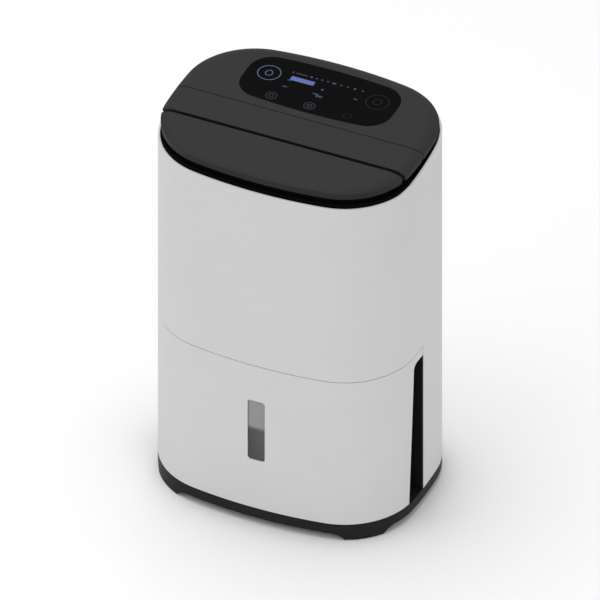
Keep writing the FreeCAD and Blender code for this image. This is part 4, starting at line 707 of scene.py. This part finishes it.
class Builder:
    """Ways of adding pieces that every sub-assembly shares."""

    def add(self, mesh: Mesh, body: Body, finish: Finish, edge_mm: float,
            nodes: Sequence[str] = (), slot: Optional[str] = None) -> None:
        """Make an object of a mesh, with soft edges, and let it ride.

        Args:
            mesh: the piece's mesh, in place.
            body: the moving group it rides on.
            finish: its finish.
            edge_mm: width of its rounded edges.
            nodes: CAD nodes that it stands for.
            slot: the record's slot, where that isn't the finish's own name; not used.
        """
        piece = bpy.data.objects.new(mesh.name, mesh)
        bpy.context.scene.collection.objects.link(piece)
        mesh.materials.clear()
        mesh.materials.append(material(finish))
        mesh.shade_smooth()
        mesh.set_sharp_from_angle(angle=SHARP_ANGLE)
        if edge_mm:
            self._round(piece, edge_mm)
        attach(piece, body.value)
        if nodes:
            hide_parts(*nodes)
        LOG.info("piece %s: %s on %s, %d faces",
                 mesh.name, finish.value.name, body.value, len(mesh.polygons))

    @staticmethod
    def _round(piece: bpy.types.Object, width_mm: float) -> None:
        """Round a piece's sharp edges.

        Args:
            piece: the object.
            width_mm: width of the rounding.
        """
        bevel = piece.modifiers.new("soft edges", "BEVEL")
        bevel.width = width_mm * MM
        bevel.segments = BEVEL_SEGMENTS
        bevel.limit_method = "ANGLE"
        bevel.angle_limit = SHARP_ANGLE
        bevel.harden_normals = True

    def soften(self, node: str, body: Body, edge_mm: float) -> None:
        """Stand a merged copy of a CAD node, with rounded edges, in the node's place.

        Args:
            node: the node's name.
            body: the moving group it rides on.
            edge_mm: width of its rounded edges.
        """
        source = frame["nodes"][node]
        work = bmesh.new()
        work.from_mesh(source.data)
        bmesh.ops.remove_doubles(work, verts=work.verts, dist=WELD_DISTANCE)
        bmesh.ops.dissolve_limit(work, angle_limit=FLAT_ANGLE, verts=work.verts, edges=work.edges)
        mesh = bpy.data.meshes.new("soft_" + node)
        work.to_mesh(mesh)
        work.free()
        self.add(mesh, body, finish_of(node), edge_mm, (node,))


# --------------------------------------------------------------------------
# Sub-assemblies
# --------------------------------------------------------------------------
# Outline of the glass plate, which the opening in the rear lid follows.
GLASS = Plan(half_x=94.0, half_y=43.0, face=690.0, side=300.0, corner=29.2, middle_y=55.5)


@dataclass
class Lid(Builder):
    """Outlet flap, lift-up handle and rear lid, cut from one slab with a broad shoulder.

    The slab's top lies at top - drop * (1 - t) ** bow, where t runs from 0 at the crease above the
    side face to 1 at the shoulder's inner end, and stays level further in. The roofs of the
    hollows lie a skin below the top, and slopes join them to the walls.
    """

    plan: Plan = Plan(half_x=158.0, half_y=121.0, face=544.0, side=534.0, corner=88.4)
    glass: Plan = GLASS
    low: float = 484.0
    top: float = 497.0
    side_in: float = 4.0
    crease_in: float = 3.1
    drop: float = 4.8
    shoulder: float = 17.0
    shoulder_rows: int = 13
    row_power: float = 1.3
    bow: float = 2.2
    seam_round: float = 3.0
    skin: float = 2.5
    rim: float = 3.6
    seam_wall: float = 2.5
    flap_rear: float = -49.6
    roof_side_in: float = 6.0
    roof_seam_in: float = 8.0
    roof_sag: float = 0.6
    wall_drop: float = 2.8
    handle_front: float = -44.6
    handle_rear: float = 0.3
    rear_front: float = 1.4
    handle_wall: float = 4.0
    handle_lean: float = 3.0
    grip_end: float = 48.0
    grip_slope: float = 2.5
    grip_end_slope: float = 2.0
    axis_y: float = -55.6
    axis_z: float = 489.0
    ear_radius: float = 4.2
    ear_thick: float = 4.9
    ear_place: float = 113.0
    post_x: float = 124.0
    post_y: float = -22.0
    post_radius: float = 6.0
    post_low: float = 403.7
    post_foot: tuple[tuple[float, float], ...] = ((1.2, 0.0), (0.3, 0.4), (0.0, 1.3), (0.0, 30.0))
    post_head: tuple[float, ...] = (-2.0, 1.0)
    ear_points: int = 24
    seat_gap: float = 0.15
    seat_depth: float = 1.6
    seat_width: float = 5.0
    rear_thick: float = 3.5
    edge_mm: float = 0.7
    rear_edge_mm: float = 0.35
    curve_points: int = 180
    seam_points: int = 60

    def build(self) -> None:
        """Make the three parts of the lid."""
        self._flap()
        self._handle()
        self._rear()

    def loop(self, front: Optional[float], rear: Optional[float], drawn_in: float,
             seam_in: float) -> Array:
        """A closed row round one part: runs of the outline joined by straight seams across the lid.

        Args:
            front: y of the front seam, or None where the part reaches round the front.
            rear: y of the rear seam, or None where it reaches round the rear.
            drawn_in: distance in from the outline.
            seam_in: distance in from the seams.

        Returns:
            An array of (x, y), anticlockwise from above.
        """
        def seam(y: float, sign: float) -> Array:
            """Straight points between the outline's two sides.

            Args:
                y: place of the seam.
                sign: 1 for points that run towards +X, -1 for -X.

            Returns:
                An array of (x, y).
            """
            turn = np.array(self.plan.right_turn(y, drawn_in))
            half = self.plan.points(turn, drawn_in)[0]
            x = np.linspace(-sign * half, sign * half, self.seam_points + 2)[1:-1]
            return np.stack([x, np.full_like(x, y)], axis=-1)

        if front is None:
            y = rear - seam_in
            turn = self.plan.right_turn(y, drawn_in)
            curve = self.plan.run(-math.pi - turn, turn, self.curve_points, drawn_in)
            return np.concatenate([curve, seam(y, -1.0)])
        if rear is None:
            y = front + seam_in
            turn = self.plan.right_turn(y, drawn_in)
            curve = self.plan.run(turn, math.pi - turn, self.curve_points, drawn_in)
            return np.concatenate([curve, seam(y, 1.0)])
        low, high = front + seam_in, rear - seam_in
        first, last = self.plan.right_turn(low, drawn_in), self.plan.right_turn(high, drawn_in)
        count = self.curve_points // 4
        right = self.plan.run(first, last, count, drawn_in)
        left = self.plan.run(math.pi - last, math.pi - first, count, drawn_in)
        return np.concatenate([right, seam(high, -1.0), left, seam(low, 1.0)])

    def height(self, flat: Array) -> Array:
        """Height of the slab's top over points of the plan."""
        across = (self.plan.depth(flat) - self.crease_in) / self.shoulder
        return self.top - self.drop * (1.0 - np.clip(across, 0.0, 1.0)) ** self.bow

    def inside(self, front: Optional[float], rear: Optional[float],
               rows: Sequence[tuple[float, float, float]]) -> list[Array]:
        """Rows down the inside of a part, each given by its two distances in and its height."""
        return [lifted(self.loop(front, rear, depth, seam), height) for depth, seam, height in rows]

    def outside(self, front: Optional[float], rear: Optional[float],
                lean: float = 0.0) -> list[Array]:
        """Rows up the outside of a part and in over its shoulder.

        Args:
            front: y of the front seam, or None where the part reaches round the front.
            rear: y of the rear seam, or None where it reaches round the rear.
            lean: how far the foot of a seam's wall is drawn in under its edge.

        Returns:
            Closed rows of points, from the foot upwards.
        """
        rows = [lifted(self.loop(front, rear, self.side_in, lean), self.low)]
        for share in np.linspace(0.0, 1.0, self.shoulder_rows) ** self.row_power:
            depth = self.crease_in + self.shoulder * share
            flat = self.loop(front, rear, depth, self.seam_round * share)
            rows.append(lifted(flat, self.height(flat)))
        return rows

    def _flap(self) -> None:
        """Flap over the air outlet: a thin can with a hollow underside, and its hinge ears."""
        side, roof = self.side_in + self.rim, self.top - self.skin
        inner = self.inside(None, self.flap_rear, [
            (side + self.roof_side_in, self.roof_seam_in, roof - self.roof_sag),
            (side, self.seam_wall, roof - self.wall_drop), (side, self.seam_wall, self.low)])
        shell = loft("flap_shell", np.array(inner + self.outside(None, self.flap_rear)))
        ears = [self._ear(sign * self.ear_place) for sign in (-1.0, 1.0)]
        self.add(merged("outlet_flap_shell", [shell, *ears]), Body.FLAP, Finish.LID_CHARCOAL,
                 self.edge_mm, ("outlet_flap",))

    def _ear(self, place: float) -> Mesh:
        """A hinge ear: a plate whose lower end is a half round about the hinge's axis.

        Args:
            place: x of its middle.

        Returns:
            The mesh.
        """
        angle, radius = np.linspace(math.pi, FULL_TURN, self.ear_points), self.ear_radius
        root_y, root_z = self.axis_y + np.array([radius, -radius]), [self.top - self.skin] * 2
        y = np.concatenate([self.axis_y + radius * np.cos(angle), root_y])
        z = np.concatenate([self.axis_z + radius * np.sin(angle), root_z])
        half = self.ear_thick / 2.0
        rows = [np.stack([np.full_like(y, place + step), y, z], axis=-1) for step in (-half, half)]
        return loft("flap_ear", np.array(rows))

    def _handle(self) -> None:
        """Carry handle: a bar across the lid with a grip hollow under it, and its two posts."""
        front, rear = self.handle_front, self.handle_rear
        end, wall, roof = self.grip_end, self.handle_wall, self.top - self.skin
        grip = self.inside(front, rear, [
            (end + self.grip_end_slope, wall + self.grip_slope, roof),
            (end, wall, roof - self.grip_slope), (end, wall, self.low)])
        bar = loft("handle_bar", np.array(grip + self.outside(front, rear, self.handle_lean)))
        radius = self.post_radius
        outline = [(radius - inset, self.post_low + rise) for inset, rise in self.post_foot]
        outline += [(radius, self.low + rise) for rise in self.post_head]
        posts = [turned_post("handle_post", (sign * self.post_x, self.post_y), outline)
                 for sign in (-1.0, 1.0)]
        self.add(merged("carry_handle_bar", [bar, *posts]), Body.HANDLE, Finish.LID_CHARCOAL,
                 self.edge_mm, ("carry_handle",))

    def _rear(self) -> None:
        """Rear lid: a ring round the glass, with a step that the glass lies on."""
        side, under = self.side_in + self.rim, self.top - self.rear_thick
        rows = self.inside(self.rear_front, None, [
            (side, self.seam_wall, under), (side, self.seam_wall, self.low)])
        rows += self.outside(self.rear_front, None)
        last = rows[-1][:, :2]
        bearing = np.arctan2(last[:, 1] - self.glass.middle_y, last[:, 0])
        gap, width, ledge = -self.seat_gap, self.seat_width, self.top - self.seat_depth
        for depth, height in ((gap, self.top), (gap, ledge), (width, ledge), (width, under)):
            rows.append(lifted(self.glass.at_bearings(bearing, depth), height))
        self.add(loft("rear_lid_shell", np.array(rows), joined=True), Body.HOUSING,
                 Finish.LID_CHARCOAL, self.rear_edge_mm, ("rear_lid",))


@dataclass
class ControlPanel(Builder):
    """Glass plate let into the rear lid, with keys and signs lit from behind it.

    A sign is a low pad or ring on the glass. Rings and drops follow
    r(a) = radius * (1 + point * (max(0, sin a)) ** 6) about their middle, and bars are rounded
    rectangles.
    """

    glass: Plan = GLASS
    top: float = 496.9
    thick: float = 1.5
    edge_mm: float = 0.3
    glass_points: int = 240
    ring_points: int = 64
    bar_points: int = 40
    proud: float = 0.06
    stroke: float = 1.2
    fine_stroke: float = 0.7
    wide_key: float = 13.4
    narrow_key: float = 6.4
    key_wide_x: float = 67.8
    key_far_y: float = 64.2
    key_narrow_x: float = 47.8
    key_near_y: float = 25.8
    sign_row_y: float = 76.2
    dash_x: tuple[float, ...] = (-13.6, -6.7, 0.5, 17.0, 25.4, 44.2)
    dot: float = 2.4

    def build(self) -> None:
        """Make the glass and the lit signs on it."""
        flat = self.glass.at_bearings(circle(self.glass_points), 0.0)
        rows = [lifted(flat, self.top - self.thick), lifted(flat, self.top)]
        self.add(loft("glass_plate", np.array(rows)), Body.HOUSING, Finish.PANEL_BLACK,
                 self.edge_mm, ("panel_glass",))
        self._keys()
        self._signs()

    def ring(self, x: float, y: float, radius: float, stroke: float, point: float = 0.0) -> Mesh:
        """A ring, or with a point a drop, of a flat stroke.

        Args:
            x: its middle's x.
            y: its middle's y.
            radius: radius of the stroke's middle.
            stroke: width of the stroke.
            point: share of the radius by which it is drawn out towards +Y.

        Returns:
            The mesh.
        """
        angle = circle(self.ring_points)
        reach = radius * (1.0 + point * np.maximum(0.0, np.sin(angle)) ** 6)
        rows = []
        for step, height in ((-0.5, -1.0), (0.5, -1.0), (0.5, 1.0), (-0.5, 1.0)):
            across = reach + step * stroke
            flat = np.stack([x + across * np.cos(angle), y + across * np.sin(angle)], axis=-1)
            rows.append(lifted(flat, self.top + height * self.proud / 2.0))
        return loft("ring", np.array(rows), joined=True)

    def bar(self, x: float, y: float, length: float, width: float, lean: float = 0.0,
            square: float = 5.0) -> Mesh:
        """A rounded bar, from the superellipse |u| ** square + |v| ** square = 1.

        Args:
            x: its middle's x.
            y: its middle's y.
            length: size along X before it leans.
            width: size along Y before it leans.
            lean: turn about its middle, in degrees.
            square: the greater, the squarer its corners.

        Returns:
            The mesh.
        """
        angle = circle(self.bar_points)
        cosine, sine = np.cos(angle), np.sin(angle)
        along = np.sign(cosine) * np.abs(cosine) ** (2.0 / square) * length / 2.0
        across = np.sign(sine) * np.abs(sine) ** (2.0 / square) * width / 2.0
        turn = math.radians(lean)
        flat = np.stack([x + along * math.cos(turn) - across * math.sin(turn),
                         y + along * math.sin(turn) + across * math.cos(turn)], axis=-1)
        half = self.proud / 2.0
        return loft("bar", np.array([lifted(flat, self.top - half), lifted(flat, self.top + half)]))

    def _light(self, name: str, meshes: Sequence[Mesh], finish: Finish) -> None:
        """Add a group of signs that share a brightness."""
        self.add(merged(name, meshes), Body.HOUSING, finish, 0.0, (), "panel_black")

    def _keys(self) -> None:
        """The two wide keys with their rings and the three small ones in front."""
        wide, far = self.key_wide_x, self.key_far_y
        narrow, near, fine = self.key_narrow_x, self.key_near_y, self.fine_stroke
        drop = self.ring(-wide, far - 0.8, 4.2, self.stroke, point=0.35)
        lit = self.ring(-wide, far, self.wide_key, self.stroke)
        self._light("key_ring_lit", [lit, drop], Finish.KEY_BRIGHT)
        soft = [self.ring(x, near, self.narrow_key, fine) for x in (-narrow, 0.0)]
        soft += [self.ring(-narrow, near, 2.8, fine), self.ring(0.0, near, 3.0, fine)]
        self._light("key_rings_soft", [*soft, self.bar(0.0, near, 1.4, 1.4)], Finish.KEY_SOFT)
        faint = [self.ring(wide, far, self.wide_key, self.stroke),
                 self.ring(wide, far, 5.0, self.stroke), self.ring(narrow, near, 4.6, 0.9)]
        self._light("key_rings_faint", faint, Finish.KEY_FAINT)

    def _signs(self) -> None:
        """The display bar, the row of small signs behind it and the few in front."""
        row, dot = self.sign_row_y, self.dot
        display = self.bar(-26.6, 65.6, 29.2, 7.4, square=16.0)
        self._light("display_bar_lit", [display], Finish.DISPLAY_BAR)
        dim = [self.bar(-43.0, row, 2.2, 2.2), self.bar(-32.1, row, 14.4, 1.5),
               self.bar(8.3, row - 0.2, 5.0, 3.4), self.bar(-41.0, 60.6, 4.8, 1.6),
               self.bar(-40.8, 47.6, 5.4, 2.4, lean=15.0), self.bar(42.6, 58.8, 5.0, 1.8)]
        dim += [self.bar(x, row, 3.0, 2.0) for x in self.dash_x]
        self._light("signs_dim", dim, Finish.KEY_SOFT)
        clear = [self.bar(x, y, dot, dot) for x, y in ((-20.1, row), (34.2, row), (0.9, 59.7))]
        clear += [self.bar(-3.2, 49.2, 6.5, 1.3), self.ring(0.4, 46.6, 1.7, 0.8),
                  self.ring(4.6, 46.4, 1.5, 0.8)]
        self._light("signs_clear", clear, Finish.KEY_BRIGHT)


@dataclass
class HousingShells(Builder):
    """White housing front, rear cover and the dark parts set into them."""

    edge_mm: float = 0.2
    fine_mm: float = 0.4

    def build(self) -> None:
        """Round the edges of the walls and of the fittings in them."""
        for node in ("front_housing", "rear_cover"):
            self.soften(node, Body.HOUSING, self.edge_mm)
        for node in ("partition_wall", "drain_port", "cord_gland", "outlet_deck", "outlet_grille"):
            self.soften(node, Body.HOUSING, self.fine_mm)
        self.soften("filter_cover", Body.FILTER, self.fine_mm)


@dataclass
class WaterTank(Builder):
    """Lift-out tank: white front with its window, smoked bucket and lid."""

    edge_mm: float = 0.2
    window_mm: float = 0.3

    def build(self) -> None:
        """Round the edges of the tank's parts."""
        for node in ("tank_front", "tank_body", "tank_lid"):
            self.soften(node, Body.TANK, self.edge_mm)
        self.soften("level_window", Body.TANK, self.window_mm)


@dataclass
class Base(Builder):
    """Dark tray that the body stands in, with its arches and pads."""

    edge_mm: float = 0.7

    def build(self) -> None:
        """Round the tray's edges."""
        self.soften("base_tray", Body.HOUSING, self.edge_mm)


# --------------------------------------------------------------------------
# Studio
# --------------------------------------------------------------------------
@dataclass(frozen=True)
class Lamp:
    """A square area light, with its place and size in millimetres and its power in watts."""

    name: str
    place: tuple[float, float, float]
    size: float
    power: float


@dataclass
class Studio:
    """Plain pale floor, soft light and the camera."""

    azimuth: float = 24.5
    elevation: float = 37.0
    width_mm: float = 685.0
    aim: tuple[float, float, float] = (0.0, 0.0, 237.0)
    distance_mm: float = 3000.0
    view_end: float = 50.0
    sky: float = 0.62
    floor_half_mm: float = 6000.0
    floor_grey: float = 0.87
    lamps: tuple[Lamp, ...] = (Lamp("key", (-1300.0, -1700.0, 2600.0), 2400.0, 15.0),
                               Lamp("fill", (2000.0, -1800.0, 1500.0), 2200.0, 8.5),
                               Lamp("top", (-400.0, 300.0, 3000.0), 2400.0, 50.0))

    def build(self) -> None:
        """Make the floor, the lights, the world and the camera."""
        self._floor()
        self._world()
        for lamp in self.lamps:
            self._light(lamp)
        self._camera()

    def _floor(self) -> None:
        """A wide flat square at height nought."""
        half = self.floor_half_mm * MM
        corners = np.array([(-half, -half, 0), (half, -half, 0), (half, half, 0), (-half, half, 0)])
        mesh = bpy.data.meshes.new("floor")
        mesh.from_pydata(corners.tolist(), [], [(0, 1, 2, 3)])
        floor = bpy.data.objects.new("floor", mesh)
        bpy.context.scene.collection.objects.link(floor)
        surface = Surface("floor_paper", Base_Color=(self.floor_grey,) * 3, Roughness=0.9,
                          Specular_IOR_Level=0.1)
        mesh.materials.append(surface.material)

    def _world(self) -> None:
        """Even light from all round."""
        world = bpy.data.worlds.new("studio")
        world.use_nodes = True
        background = world.node_tree.nodes["Background"]
        background.inputs[0].default_value = (1.0, 1.0, 1.0, 1.0)
        background.inputs[1].default_value = self.sky
        bpy.context.scene.world = world

    def _light(self, lamp: Lamp) -> None:
        """Hang a lamp so that it faces the middle of the body.

        Args:
            lamp: its place, size and power.
        """
        light = bpy.data.lights.new(lamp.name, "AREA")
        light.shape = "SQUARE"
        light.size = lamp.size * MM
        light.energy = lamp.power
        holder = bpy.data.objects.new(lamp.name, light)
        spot = np.array(lamp.place) * MM
        holder.location = spot
        holder.rotation_euler = self._facing(spot - np.array(self.aim) * MM)
        bpy.context.scene.collection.objects.link(holder)

    @staticmethod
    def _facing(away: Array) -> tuple[float, float, float]:
        """Turn that points -Z against a direction, with the frame upright."""
        flat = math.hypot(away[0], away[1])
        return (math.atan2(flat, away[2]), 0.0, math.atan2(away[0], -away[1]))

    def _camera(self) -> None:
        """A parallel camera at its azimuth and elevation."""
        turn, rise = math.radians(self.azimuth), math.radians(self.elevation)
        level = math.cos(rise)
        back = np.array([math.sin(turn) * level, -math.cos(turn) * level, math.sin(rise)])
        camera = bpy.data.cameras.new("camera")
        camera.type = "ORTHO"
        camera.ortho_scale = self.width_mm * MM
        camera.clip_end = self.view_end
        holder = bpy.data.objects.new("camera", camera)
        holder.location = (np.array(self.aim) + back * self.distance_mm) * MM
        holder.rotation_euler = self._facing(back)
        bpy.context.scene.collection.objects.link(holder)
        bpy.context.scene.camera = holder
        bpy.context.scene.view_settings.view_transform = "Standard"


def main() -> None:
    """Dress the CAD nodes, build the scene's own pieces and set the studio."""
    logging.basicConfig(level=logging.INFO, format="%(message)s")
    dress_nodes()
    for part in (Base(), HousingShells(), WaterTank(), Lid(), ControlPanel()):
        LOG.info("sub-assembly %s", type(part).__name__)
        part.build()
    Studio().build()


if __name__ == "__main__":
    main()
